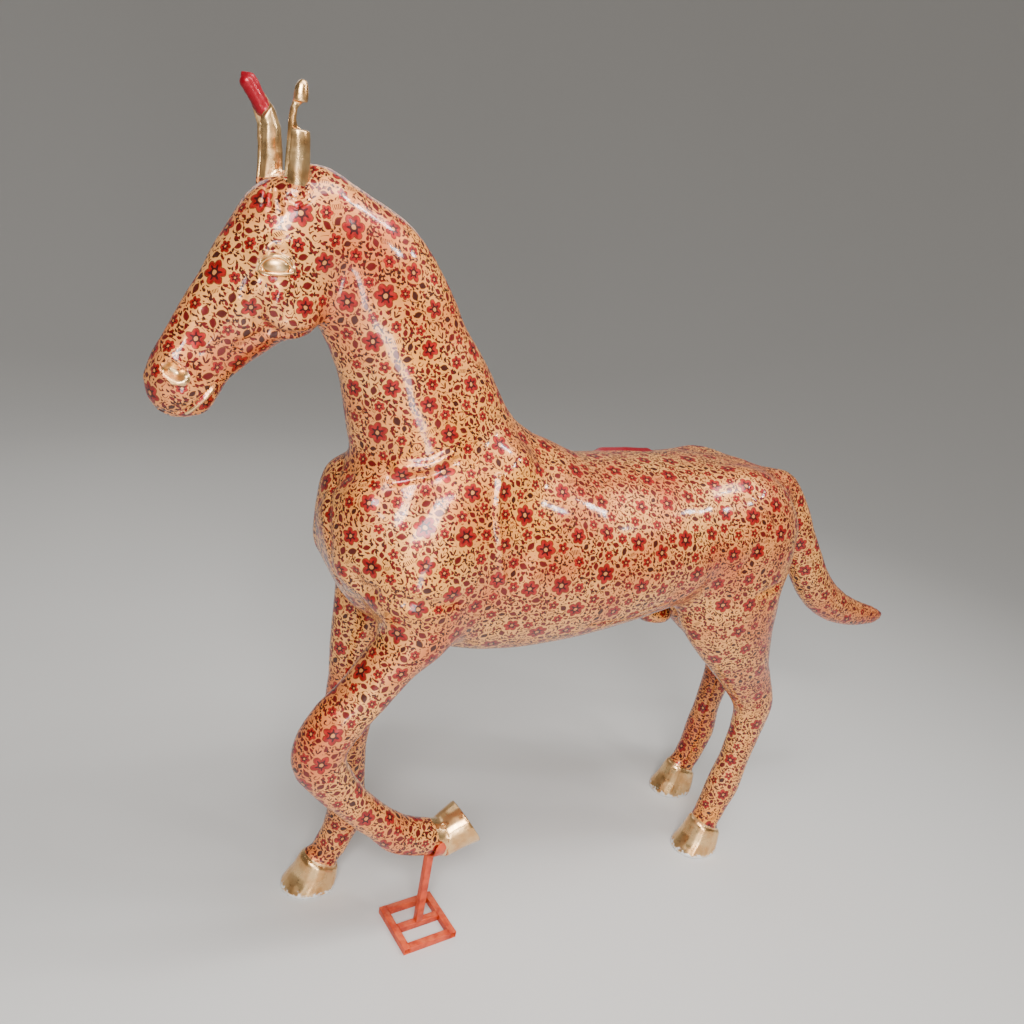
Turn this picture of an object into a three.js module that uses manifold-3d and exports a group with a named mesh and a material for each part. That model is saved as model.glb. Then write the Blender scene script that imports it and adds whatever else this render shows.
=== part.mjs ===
// Horse statue on its small stand.
//
// A life-size striding horse, one hollow shell of layered paper and lacquer, stands on three hooves.
// Its left forefoot is raised and lies in the saddle of a welded stand made of square steel tube.
// Millimetres, +Z up. The horse looks along -X and its left side is at -Y. The origin is on the floor,
// under the middle of the whole work.

import * as THREE from "three";
import { mergeVertices } from "three/addons/utils/BufferGeometryUtils.js";
import Module from "manifold-3d";

const solids = await Module();
solids.setup();

// Driving dimensions of the horse
const withersHeight = 1400; // floor to the top of the withers, and every proportion follows it
const skinStep = 13; // spacing of the points at which the skin is sampled
const skinFaces = 6480; // triangles that the skin keeps
const headFineness = 6; // how much more a change of the head counts than one of the body
const headStart = { x: -700, z: 1300 }; // the head is ahead of this and above it

// Driving dimensions of the stand
const footLength = 157; // outside, along the horse
const footWidth = 158; // outside, across the horse
const footTube = 19; // outer side of the foot's square tube
const footTubeWall = 2;
const postTube = 19; // outer side of the upright
const postTubeWall = 2;
const saddleThickness = 5; // flat bar, bent round under the pastern
const saddleLength = 30; // width of that bar, along the pastern
const saddleArm = 15; // straight stretch above the bend, on each side
const saddleNarrowing = 9; // how much each arm tapers on both edges
const standTurn = 4.4; // degrees that the stand and the raised pastern point inwards
const pieceGap = 0.3; // between pieces that touch

// The figure is laid out on a horse 1400 mm tall, and this share carries it to the built height.
const figureHeight = 1400;
const share = withersHeight / figureHeight;
const place = (x, y, z) => new THREE.Vector3(x, y, z).multiplyScalar(share);

// Forms of the skin
//
// A form is a chain of stations. Each station has its centre, its half depth in the horse's own
// upright plane and its half width to the side. `blend` is how softly the form melts into the rest.
const station = (x, y, z, depth, width) => ({
  at: place(x, y, z),
  depth: depth * share,
  width: width * share,
});
const form = (blend, ...stations) => ({ blend: blend * share, stations });
const mirrored = (shape) => ({
  blend: shape.blend,
  stations: shape.stations.map((s) => ({ ...s, at: new THREE.Vector3(s.at.x, -s.at.y, s.at.z) })),
});
const bothSides = (shape) => [shape, mirrored(shape)];

const trunk = form(
  30,
  station(-560, 0, 1150, 142, 134),
  station(-430, 0, 1110, 243, 196),
  station(-260, 0, 1086, 280, 235),
  station(-60, 0, 1070, 244, 256),
  station(140, 0, 1092, 221, 256),
  station(330, 0, 1114, 201, 236),
  station(490, 0, 1124, 187, 205),
  station(590, 0, 1140, 136, 140),
);
const withers = form(
  60,
  station(-430, 0, 1330, 80, 60),
  station(-290, 0, 1316, 70, 50),
  station(-170, 0, 1264, 58, 55),
);
const neck = form(
  60,
  station(-428, 0, 1283, 200, 155),
  station(-490, 0, 1417, 176, 122),
  station(-546, 0, 1525, 150, 102),
  station(-597, 0, 1614, 144, 92),
  station(-656, 0, 1686, 139, 88),
  station(-724, 0, 1738, 119, 84),
);
const head = form(
  35,
  station(-778, 0, 1808, 78, 74),
  station(-815, 0, 1756, 106, 92),
  station(-849, 0, 1684, 112, 92),
  station(-892, 0, 1615, 101, 76),
  station(-937, 0, 1561, 87, 60),
  station(-978, 0, 1503, 75, 54),
  station(-1004, 0, 1453, 70, 58),
  station(-1013, 0, 1422, 46, 50),
);
const lowerLip = form(14, station(-960, 0, 1448, 30, 34), station(-972, 0, 1410, 24, 32));
const cheek = form(20, station(-846, -44, 1650, 70, 52), station(-818, -44, 1622, 66, 52));
const brow = form(20, station(-846, -66, 1728, 26, 30), station(-884, -68, 1716, 26, 26));
const nostrilFlare = form(14, station(-1026, -40, 1500, 24, 22), station(-1036, -40, 1470, 26, 24));

const breast = form(35, station(-597, -72, 1204, 80, 76), station(-592, -78, 1096, 90, 82));
const shoulder = form(
  45,
  station(-330, -110, 1290, 84, 60),
  station(-430, -140, 1170, 128, 78),
  station(-498, -150, 1070, 118, 84),
);
const haunch = form(
  45,
  station(350, -95, 1172, 116, 95),
  station(465, -112, 1128, 162, 112),
  station(546, -110, 1050, 110, 98),
);
const sheath = form(
  18,
  station(246, 0, 884, 34, 36),
  station(322, 0, 840, 33, 32),
  station(378, 0, 828, 25, 24),
);

const rightForeleg = form(
  38,
  station(-468, 128, 1060, 150, 84),
  station(-478, 126, 930, 118, 78),
  station(-511, 118, 800, 86, 64),
  station(-527, 112, 650, 66, 54),
  station(-528, 110, 540, 66, 57),
  station(-522, 108, 450, 54, 47),
  station(-505, 107, 330, 47, 43),
  station(-497, 107, 235, 54, 49),
  station(-515, 107, 165, 47, 43),
  station(-538, 107, 110, 46, 43),
);
const raisedForeleg = form(
  38,
  station(-470, -130, 1080, 150, 84),
  station(-474, -138, 956, 94, 78),
  station(-542, -140, 858, 64, 62),
  station(-609, -140, 762, 60, 56),
  station(-670, -140, 684, 65, 57),
  station(-690, -140, 618, 64, 57),
  station(-658, -140, 552, 54, 51),
  station(-596, -139, 472, 45, 43),
  station(-520, -138, 396, 44, 42),
  station(-452, -136, 336, 50, 47),
  station(-398, -134, 314, 50, 46),
  station(-350, -133, 302, 47, 44),
  station(-320, -131, 296, 45, 43),
);
const leftHindleg = form(
  45,
  station(440, -112, 1110, 196, 124),
  station(476, -130, 958, 172, 108),
  station(534, -136, 826, 125, 84),
  station(610, -132, 706, 88, 64),
  station(682, -126, 612, 72, 51),
  station(724, -122, 540, 66, 50),
  station(728, -118, 450, 55, 44),
  station(718, -116, 340, 49, 42),
  station(704, -114, 240, 56, 48),
  station(688, -113, 172, 47, 44),
  station(676, -113, 118, 47, 44),
);
const rightHindleg = form(
  45,
  station(470, 112, 1110, 180, 120),
  station(520, 136, 960, 162, 106),
  station(614, 148, 828, 126, 82),
  station(712, 156, 706, 92, 64),
  station(802, 160, 612, 71, 51),
  station(848, 163, 545, 62, 50),
  station(850, 164, 450, 51, 44),
  station(840, 165, 340, 46, 42),
  station(838, 166, 240, 52, 48),
  station(826, 166, 172, 47, 44),
  station(808, 166, 118, 46, 44),
);
const tail = form(
  30,
  station(610, 0, 1225, 56, 52),
  station(700, 0, 1224, 50, 46),
  station(766, -3, 1160, 52, 46),
  station(826, -8, 1072, 57, 48),
  station(890, -12, 982, 61, 50),
  station(966, -16, 890, 62, 50),
  station(1068, -20, 818, 58, 46),
  station(1185, -24, 776, 47, 36),
  station(1282, -27, 760, 34, 26),
  station(1340, -29, 754, 14, 12),
);

const addedForms = [
  trunk,
  withers,
  neck,
  head,
  lowerLip,
  ...bothSides(cheek),
  ...bothSides(brow),
  ...bothSides(nostrilFlare),
  ...bothSides(breast),
  ...bothSides(shoulder),
  ...bothSides(haunch),
  sheath,
  rightForeleg,
  raisedForeleg,
  leftHindleg,
  rightHindleg,
  tail,
];

// Furrows and hollows that are carved out of the skin, given in the same way.
const breastFurrow = form(26, station(-742, 0, 1230, 26, 14), station(-728, 0, 1080, 26, 14));
const cheekFurrow = form(
  26,
  station(-738, -92, 1690, 16, 14),
  station(-748, -94, 1610, 18, 14),
  station(-800, -82, 1526, 16, 14),
);
const shoulderFurrow = form(24, station(-250, -236, 1240, 14, 12), station(-318, -238, 1110, 14, 14));
const elbowFold = form(20, station(-330, -214, 960, 12, 14), station(-410, -232, 930, 14, 12));
const flankFold = form(26, station(300, -246, 1060, 14, 14), station(318, -226, 930, 16, 16));
const thighFurrow = form(22, station(610, -208, 1120, 13, 12), station(622, -206, 960, 13, 12));
const mouthLine = form(
  10,
  station(-1024, -34, 1390, 8, 14),
  station(-992, -52, 1412, 8, 13),
  station(-966, -60, 1440, 7, 12),
);
const nostrilHollow = form(9, station(-1040, -62, 1492, 11, 13), station(-1030, -64, 1466, 13, 15));
const crestFurrow = form(20, station(60, 0, 1342, 16, 12), station(520, 0, 1346, 22, 14));

const carvedForms = [
  breastFurrow,
  ...bothSides(cheekFurrow),
  ...bothSides(shoulderFurrow),
  ...bothSides(elbowFold),
  ...bothSides(flankFold),
  ...bothSides(thighFurrow),
  ...bothSides(mouthLine),
  ...bothSides(nostrilHollow),
  crestFurrow,
];

// Distance to one slice of a form: a cone between two stations with an oval section.
function ovalConeDistance(x, y, z, cone) {
  const { a, run, runSquared } = cone;
  const along = ((x - a.x) * run.x + (y - a.y) * run.y + (z - a.z) * run.z) / runSquared;
  const t = Math.min(1, Math.max(0, along));
  const depth = cone.depth + cone.depthChange * t;
  const width = cone.width + cone.widthChange * t;
  const dx = x - a.x - run.x * t;
  const dy = y - a.y - run.y * t;
  const dz = z - a.z - run.z * t;
  const upright = (dx * dx + dz * dz) / (depth * depth);
  const sideways = (dy * dy) / (width * width);
  const reach = Math.sqrt(upright + sideways);
  const slope = Math.sqrt(upright / (depth * depth) + sideways / (width * width));
  return slope > 1e-9 ? (reach * (reach - 1)) / slope : -Math.min(depth, width);
}

// A form's stations are joined by a smooth curve, cut into short cones.
const conesPerStation = 4;
function conesOf({ stations }) {
  const centres = new THREE.CatmullRomCurve3(stations.map((s) => s.at));
  const sizes = new THREE.CatmullRomCurve3(stations.map((s) => new THREE.Vector3(s.depth, s.width, 0)));
  const count = (stations.length - 1) * conesPerStation;
  const cones = [];
  for (let i = 0; i < count; i++) {
    const a = centres.getPoint(i / count);
    const run = centres.getPoint((i + 1) / count).sub(a);
    const from = sizes.getPoint(i / count);
    const to = sizes.getPoint((i + 1) / count);
    cones.push({
      a,
      run,
      runSquared: run.lengthSq(),
      depth: from.x,
      width: from.y,
      depthChange: to.x - from.x,
      widthChange: to.y - from.y,
    });
  }
  return cones;
}

const farSteps = 8; // a value, in steps, for points that no form comes near
// The sampled field: the distance to the skin at the points of a regular grid.
class Field {
  constructor(box, step) {
    this.step = step;
    this.origin = box.min.clone();
    const size = box.getSize(new THREE.Vector3()).divideScalar(step);
    this.counts = [Math.ceil(size.x) + 1, Math.ceil(size.y) + 1, Math.ceil(size.z) + 1];
    this.far = step * farSteps;
    this.values = new Float32Array(this.counts[0] * this.counts[1] * this.counts[2]).fill(this.far);
    this.formValues = new Float32Array(this.values.length);
  }

  index(i, j, k) {
    return i + this.counts[0] * (j + this.counts[1] * k);
  }

  // Calls visit(index, x, y, z) for every grid point inside a box.
  visit(box, visitPoint) {
    const { origin, step, counts } = this;
    const first = box.min.clone().sub(origin).divideScalar(step).ceil();
    const last = box.max.clone().sub(origin).divideScalar(step).floor();
    for (let k = Math.max(0, first.z); k <= Math.min(counts[2] - 1, last.z); k++)
      for (let j = Math.max(0, first.y); j <= Math.min(counts[1] - 1, last.y); j++)
        for (let i = Math.max(0, first.x); i <= Math.min(counts[0] - 1, last.x); i++)
          visitPoint(this.index(i, j, k), origin.x + i * step, origin.y + j * step, origin.z + k * step);
  }
}

function boxOfCone({ a, run, depth, width, depthChange, widthChange }, margin) {
  const deepest = Math.max(depth, depth + depthChange) + margin;
  const widest = Math.max(width, width + widthChange) + margin;
  const box = new THREE.Box3().setFromPoints([a, a.clone().add(run)]);
  return box.expandByVector(new THREE.Vector3(deepest, widest, deepest));
}

// The smaller of two distances, rounded off where they are about equal.
function softMinimum(a, b, blend) {
  const mix = Math.max(blend - Math.abs(a - b), 0) / blend;
  return Math.min(a, b) - (mix * mix * blend) / 4;
}

// Melts one form into the field, or with sign -1 carves it out.
function applyForm(field, shape, sign) {
  const { values, formValues } = field;
  const reach = new THREE.Box3();
  formValues.fill(field.far);
  for (const cone of conesOf(shape)) {
    const box = boxOfCone(cone, field.step * 2 + shape.blend);
    reach.union(box);
    field.visit(box, (index, x, y, z) => {
      formValues[index] = Math.min(formValues[index], ovalConeDistance(x, y, z, cone));
    });
  }
  field.visit(reach, (index) => {
    if (formValues[index] < field.far)
      values[index] = sign * softMinimum(sign * values[index], formValues[index], shape.blend);
  });
}

// Where four neighbouring points in a square lie in and out by turns, the skin would touch itself
// along an edge. The outer one nearest to the skin is taken in, until no such square is left.
function untangle(field) {
  const { values, counts, step } = field;
  const strides = [1, counts[0], counts[0] * counts[1]];
  const justInside = -step / 100;
  let found = true;
  while (found) {
    found = false;
    for (let here = 0; here + strides[1] + strides[2] < values.length; here++)
      for (let axis = 0; axis < 3; axis++) {
        const u = strides[(axis + 1) % 3];
        const v = strides[(axis + 2) % 3];
        const inside = values[here] < 0;
        if (inside !== values[here + u + v] < 0) continue;
        if (inside === values[here + u] < 0 || inside === values[here + v] < 0) continue;
        const outer = inside ? [here + u, here + v] : [here, here + u + v];
        values[values[outer[0]] < values[outer[1]] ? outer[0] : outer[1]] = justInside;
        found = true;
      }
  }
}

// The skin as a net of four-sided faces: one vertex in each grid cell that the surface passes through.
function skinOf(field) {
  const { counts, values, step, origin } = field;
  const [nx, ny, nz] = counts;
  const corners = [];
  for (let c = 0; c < 8; c++) corners.push([c & 1, (c >> 1) & 1, (c >> 2) & 1]);
  const edges = [];
  for (let a = 0; a < 8; a++) for (const bit of [1, 2, 4]) if (!(a & bit)) edges.push([a, a | bit]);

  const points = [];
  const vertexOfCell = new Map();
  const cornerValues = new Array(8);
  for (let k = 0; k < nz - 1; k++)
    for (let j = 0; j < ny - 1; j++)
      for (let i = 0; i < nx - 1; i++) {
        let inside = 0;
        for (let c = 0; c < 8; c++) {
          cornerValues[c] = values[field.index(i + corners[c][0], j + corners[c][1], k + corners[c][2])];
          if (cornerValues[c] < 0) inside++;
        }
        if (inside === 0 || inside === 8) continue;
        const sum = [0, 0, 0];
        let crossings = 0;
        for (const [a, b] of edges) {
          if (cornerValues[a] < 0 === cornerValues[b] < 0) continue;
          const t = cornerValues[a] / (cornerValues[a] - cornerValues[b]);
          for (let axis = 0; axis < 3; axis++)
            sum[axis] += corners[a][axis] + t * (corners[b][axis] - corners[a][axis]);
          crossings++;
        }
        vertexOfCell.set(field.index(i, j, k), points.length / 3);
        points.push(
          origin.x + (i + sum[0] / crossings) * step,
          origin.y + (j + sum[1] / crossings) * step,
          origin.z + (k + sum[2] / crossings) * step,
        );
      }

  const triangles = [];
  const strides = [1, nx, nx * ny];
  for (let k = 1; k < nz - 1; k++)
    for (let j = 1; j < ny - 1; j++)
      for (let i = 1; i < nx - 1; i++) {
        const here = field.index(i, j, k);
        for (let axis = 0; axis < 3; axis++) {
          const there = here + strides[axis];
          if (values[here] < 0 === values[there] < 0) continue;
          const u = strides[(axis + 1) % 3];
          const v = strides[(axis + 2) % 3];
          const ring = [here - u - v, here - v, here, here - u].map((cell) => vertexOfCell.get(cell));
          if (values[here] >= 0) ring.reverse();
          triangles.push(ring[0], ring[1], ring[2], ring[0], ring[2], ring[3]);
        }
      }
  return { points, triangles };
}

// A priority queue of edges, cheapest first.
class EdgeQueue {
  constructor() {
    this.heap = [];
  }

  push(entry) {
    const { heap } = this;
    let child = heap.length;
    heap.push(entry);
    while (child > 0) {
      const parent = (child - 1) >> 1;
      if (heap[parent].cost <= entry.cost) break;
      heap[child] = heap[parent];
      child = parent;
    }
    heap[child] = entry;
  }

  pop() {
    const { heap } = this;
    const top = heap[0];
    const last = heap.pop();
    if (heap.length === 0) return top;
    let parent = 0;
    for (;;) {
      let child = parent * 2 + 1;
      if (child >= heap.length) break;
      if (child + 1 < heap.length && heap[child + 1].cost < heap[child].cost) child++;
      if (heap[child].cost >= last.cost) break;
      heap[parent] = heap[child];
      parent = child;
    }
    heap[parent] = last;
    return top;
  }
}

// Ten numbers that give the summed squared distance of a point to a set of planes.
function planeQuadric(nx, ny, nz, d, weight) {
  const products = [nx * nx, nx * ny, nx * nz, nx * d, ny * ny, ny * nz, ny * d, nz * nz, nz * d, d * d];
  return products.map((product) => product * weight);
}

function quadricError(q, x, y, z) {
  return (
    q[0] * x * x + 2 * q[1] * x * y + 2 * q[2] * x * z + 2 * q[3] * x +
    q[4] * y * y + 2 * q[5] * y * z + 2 * q[6] * y +
    q[7] * z * z + 2 * q[8] * z + q[9]
  );
}

const flatLimit = 1e-6; // below this the planes are too nearly parallel to meet in one point
// The point where a quadric is least, or null where it has no single such point.
function quadricLow(q) {
  const [a, b, c, d, e, f, g, h, k] = q;
  const determinant = a * (e * h - f * f) - b * (b * h - f * c) + c * (b * f - e * c);
  if (Math.abs(determinant) < flatLimit * (a + e + h) ** 3) return null;
  return [
    (-d * (e * h - f * f) + b * (g * h - f * k) - c * (g * f - e * k)) / determinant,
    (-a * (g * h - f * k) + d * (b * h - f * c) - c * (b * k - g * c)) / determinant,
    (-a * (e * k - g * f) + b * (b * k - g * c) - d * (b * f - e * c)) / determinant,
  ];
}

const shortEdgeCost = 1e-5; // per mm to the fourth power, so that slivers go first
const leastFaceTurn = 0.35; // cosine of the most that a face may turn when an edge is joined
// Joins the ends of the edge that changes the skin least, again and again, down to a number of faces.
// `finenessAt(x, z)` is how much a change counts there.
function thinOut({ points, triangles }, wantedFaces, finenessAt) {
  const position = [];
  for (let i = 0; i < points.length; i += 3) position.push([points[i], points[i + 1], points[i + 2]]);
  const faces = [];
  const facesAt = position.map(() => new Set());
  for (let i = 0; i < triangles.length; i += 3) {
    const face = [triangles[i], triangles[i + 1], triangles[i + 2]];
    face.forEach((v) => facesAt[v].add(faces.length));
    faces.push(face);
  }
  const normalOf = (a, b, c) => {
    const [ux, uy, uz] = [b[0] - a[0], b[1] - a[1], b[2] - a[2]];
    const [vx, vy, vz] = [c[0] - a[0], c[1] - a[1], c[2] - a[2]];
    return [uy * vz - uz * vy, uz * vx - ux * vz, ux * vy - uy * vx];
  };
  const quadrics = position.map(() => new Array(10).fill(0));
  for (const face of faces) {
    const [a, b, c] = face.map((v) => position[v]);
    const n = normalOf(a, b, c);
    const length = Math.hypot(...n) || 1;
    const unit = n.map((value) => value / length);
    const d = -(unit[0] * a[0] + unit[1] * a[1] + unit[2] * a[2]);
    const quadric = planeQuadric(...unit, d, (length / 2) * finenessAt(a[0], a[2]));
    for (const v of face) for (let q = 0; q < 10; q++) quadrics[v][q] += quadric[q];
  }

  const changes = new Uint32Array(position.length);
  const queue = new EdgeQueue();
  const queueEdge = (a, b) => {
    const sum = quadrics[a].map((value, q) => value + quadrics[b][q]);
    const middle = position[a].map((value, axis) => (value + position[b][axis]) / 2);
    const span = Math.hypot(...position[a].map((value, axis) => value - position[b][axis]));
    const low = quadricLow(sum);
    const nearEnough = low && Math.hypot(...low.map((value, axis) => value - middle[axis])) < span;
    const choices = nearEnough ? [low] : [middle, position[a], position[b]];
    let best = choices[0];
    let error = Infinity;
    for (const choice of choices) {
      const e = quadricError(sum, ...choice);
      if (e < error) [best, error] = [choice, e];
    }
    const cost = Math.max(error, 0) + shortEdgeCost * span ** 4;
    queue.push({ cost, a, b, to: best, sum, stamp: changes[a] + changes[b] });
  };
  const neighboursOf = (v) => {
    const found = new Set();
    for (const f of facesAt[v]) for (const other of faces[f]) if (other !== v) found.add(other);
    return found;
  };
  const turnsOver = (v, other, to) => {
    for (const f of facesAt[v]) {
      const face = faces[f];
      if (face.includes(other)) continue;
      const before = normalOf(...face.map((w) => position[w]));
      const after = normalOf(...face.map((w) => (w === v ? to : position[w])));
      const dot = before[0] * after[0] + before[1] * after[1] + before[2] * after[2];
      if (dot < leastFaceTurn * Math.hypot(...before) * Math.hypot(...after)) return true;
    }
    return false;
  };

  position.forEach((_, v) => neighboursOf(v).forEach((other) => v < other && queueEdge(v, other)));
  let left = faces.length;
  while (left > wantedFaces && queue.heap.length > 0) {
    const { a, b, to, sum, stamp } = queue.pop();
    if (stamp !== changes[a] + changes[b] || facesAt[a].size === 0 || facesAt[b].size === 0) continue;
    const aroundA = neighboursOf(a);
    if (!aroundA.has(b)) continue;
    const shared = [...neighboursOf(b)].filter((v) => aroundA.has(v));
    if (shared.length !== 2 || turnsOver(a, b, to) || turnsOver(b, a, to)) continue;
    for (const f of [...facesAt[b]]) {
      const face = faces[f];
      if (face.includes(a)) {
        face.forEach((v) => facesAt[v].delete(f));
        faces[f] = null;
        left--;
      } else {
        face[face.indexOf(b)] = a;
        facesAt[a].add(f);
      }
    }
    facesAt[b].clear();
    position[a] = to;
    quadrics[a] = sum;
    changes[a] += 1;
    changes[b] += 1;
    for (const v of neighboursOf(a)) queueEdge(a, v);
  }

  const kept = faces.filter((face) => face !== null);
  const numberOf = new Map();
  const keptPoints = [];
  for (const v of kept.flat()) {
    if (numberOf.has(v)) continue;
    numberOf.set(v, keptPoints.length / 3);
    keptPoints.push(...position[v]);
  }
  return { points: keptPoints, triangles: kept.flat().map((v) => numberOf.get(v)) };
}

// Solids and meshes
function solidFrom({ points, triangles }) {
  const vertProperties = new Float32Array(points);
  const triVerts = new Uint32Array(triangles);
  const solid = new solids.Manifold(new solids.Mesh({ numProp: 3, vertProperties, triVerts }));
  if (solid.volume() > 0) return solid;
  for (let i = 0; i < triVerts.length; i += 3)
    [triVerts[i + 1], triVerts[i + 2]] = [triVerts[i + 2], triVerts[i + 1]];
  return new solids.Manifold(new solids.Mesh({ numProp: 3, vertProperties, triVerts }));
}

function solidFromGeometry(geometry) {
  const bare = geometry.clone();
  bare.deleteAttribute("normal");
  bare.deleteAttribute("uv");
  const merged = mergeVertices(bare, 1e-3);
  return solidFrom({ points: [...merged.attributes.position.array], triangles: [...merged.index.array] });
}

function geometryFrom(solid) {
  const { vertProperties, triVerts, numProp } = solid.getMesh();
  const points = new Float32Array((vertProperties.length / numProp) * 3);
  for (let v = 0; v < points.length / 3; v++)
    points.set(vertProperties.subarray(v * numProp, v * numProp + 3), v * 3);
  const geometry = new THREE.BufferGeometry();
  geometry.setAttribute("position", new THREE.BufferAttribute(points, 3));
  geometry.setIndex(new THREE.BufferAttribute(new Uint32Array(triVerts), 1));
  geometry.computeVertexNormals();
  return geometry;
}

// A closed body from rings of points, each ring with as many points as the next.
function loftRings(rings, capOf) {
  const count = rings[0].length;
  const points = rings.flat().flatMap((p) => [p.x, p.y, p.z]);
  const triangles = [];
  for (let r = 0; r + 1 < rings.length; r++)
    for (let i = 0; i < count; i++) {
      const next = (i + 1) % count;
      const [a, b] = [r * count + i, r * count + next];
      const [c, d] = [a + count, b + count];
      triangles.push(a, b, d, a, d, c);
    }
  const top = (rings.length - 1) * count;
  for (const [p, q, s] of capOf(count)) {
    triangles.push(q, p, s);
    triangles.push(top + p, top + q, top + s);
  }
  return { points, triangles };
}

// A cap for a round ring is a fan, and for a curved wall a strip between its outer and inner line.
const fanCap = (count) => Array.from({ length: count - 2 }, (_, i) => [0, i + 1, i + 2]);
const wallCap = (count) => {
  const strip = [];
  for (let i = 0; i + 1 < count / 2; i++) {
    const opposite = count - 1 - i;
    strip.push([i, i + 1, opposite], [i + 1, opposite - 1, opposite]);
  }
  return strip;
};

// Hooves
//
// A hoof is a stack of rings from inside the pastern down to the flat sole. Each ring is round at the
// toe and squarer at the heel, and the sole stands forward of the coronet by the slope of the toe.
// The rings slope down to the heel, the coronet most of all.
const hoofLevels = [
  { rise: 1.16, length: 70, width: 66, forward: -4 },
  { rise: 1.0, length: 98, width: 92, forward: 0 },
  { rise: 0.92, length: 108, width: 101, forward: 3 },
  { rise: 0.5, length: 125, width: 115, forward: 12 },
  { rise: 0.07, length: 150, width: 132, forward: 28 },
  { rise: 0, length: 147, width: 129, forward: 28 },
];
const hoofHeight = 104; // at the toe
const heelDrop = 0.42; // how much lower the coronet is at the heel
const hoofPoints = 20;
const heelSquareness = 0.62;

function hoof(heightShare, flare = 1) {
  const coronet = hoofLevels[1];
  const flared = (size, coronetSize) => coronetSize + (size - coronetSize) * (size > coronetSize ? flare : 1);
  const rings = hoofLevels.map((level) => {
    const length = flared(level.length, coronet.length);
    const width = flared(level.width, coronet.width);
    const forward = level.forward * flare;
    return Array.from({ length: hoofPoints }, (_, i) => {
      const angle = (2 * Math.PI * i) / hoofPoints;
      const towardsToe = Math.cos(angle);
      const sideways = Math.sin(angle);
      const power = towardsToe < 0 ? heelSquareness : 1;
      const along = Math.sign(towardsToe) * Math.abs(towardsToe) ** power;
      const height = level.rise * hoofHeight * heightShare * (1 - (heelDrop * (1 - along)) / 2);
      return place(-forward - (along * length) / 2, (sideways * width) / 2, height);
    });
  });
  return solidFrom(loftRings(rings, fanCap));
}

// The three standing hooves are placed by the middle of their coronet, on the floor.
const standingHooves = [
  { x: -558, y: 107, heightShare: 1.0 },
  { x: 676, y: -113, heightShare: 1.1 },
  { x: 796, y: 166, heightShare: 1.1 },
];
const raisedCoronet = { x: -324, y: -130, z: 288 };
const raisedHoofPitch = -123;
const raisedHoofFlare = 0.58; // how far it widens below the coronet, as a share of a standing hoof's flare

function standingHoof({ x, y, heightShare }) {
  const at = place(x, y, 0);
  return hoof(heightShare).translate([at.x, at.y, at.z]);
}

function raisedHoof() {
  const at = place(raisedCoronet.x, raisedCoronet.y, raisedCoronet.z);
  const coronetHeight = hoofHeight * (1 - heelDrop / 2) * share;
  return hoof(1, raisedHoofFlare)
    .translate([0, 0, -coronetHeight])
    .rotate([0, raisedHoofPitch, standTurn])
    .translate([at.x, at.y, at.z]);
}

// Ears
//
// An ear is a curved wall round an upright axis, open to the front. Each row gives its height, how far
// it leans forward and outward, its half depth and half width, and the angles between which the wall
// stands: 0 is the rear, positive angles turn towards the horse's outer side.
const earWall = 11;
const earRow = (rise, lean, out, depth, width, from, to) => ({ rise, lean, out, depth, width, from, to });
const earSteps = 8;

const leftEarRows = [
  earRow(-34, -2, -4, 24, 20, -165, 165),
  earRow(10, 0, 0, 24, 22, -160, 160),
  earRow(50, 3, 2, 24, 23, -150, 150),
  earRow(92, 6, 4, 22, 22, -145, 145),
  earRow(128, 10, 4, 18, 18, -150, 150),
  earRow(150, 9, 4, 13, 13, -170, 170),
  earRow(166, 8, 4, 13, 13, -170, 170),
  earRow(179, 8, 4, 11, 11, -170, 170),
  earRow(187, 8, 4, 7, 7, -170, 170),
];
const rightEarRows = [
  earRow(-34, 26, -4, 26, 20, -165, 165),
  earRow(10, 28, 0, 26, 22, -160, 160),
  earRow(60, 31, 2, 25, 24, -150, 150),
  earRow(104, 36, 4, 23, 23, -145, 155),
  earRow(134, 49, 5, 22, 21, -140, 162),
  earRow(162, 70, 6, 18, 19, -140, 168),
  earRow(178, 78, 6, 16, 16, -140, 165),
  earRow(187, 82, 6, 11, 11, -140, 160),
];

// What has been taken out of each ear: an outline in the upright plane, cut through from an inner to
// an outer distance. The left ear keeps its inner front edge, and the right ear its outer wall.
const earNotch = (inner, outer, outline) => ({ inner, outer, outline });
const leftEarNotches = [
  earNotch(-60, 60, [[-11, 120], [-6, 109], [4, 104], [60, 104], [60, 154], [-2, 152], [-11, 142]]),
  earNotch(2, 60, [[-60, 106], [0, 104], [0, 152], [-60, 152]]),
];
const rightEarNotches = [
  earNotch(-60, 2, [[-150, 100], [-62, 100], [-33, 148], [-22, 155], [60, 158], [60, 260], [-150, 260]]),
];
const earRoot = { x: -826, y: 46, z: 1834 };

function notchSolid({ inner, outer, outline }, side) {
  const shape = new THREE.Shape(outline.map(([x, rise]) => new THREE.Vector2(x * share, rise * share)));
  const geometry = new THREE.ExtrudeGeometry(shape, { depth: (outer - inner) * share, bevelEnabled: false });
  geometry.rotateX(Math.PI / 2);
  const at = place(earRoot.x, side * earRoot.y + (side > 0 ? outer : -inner), earRoot.z);
  geometry.translate(at.x, at.y, at.z);
  return solidFromGeometry(geometry);
}

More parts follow.
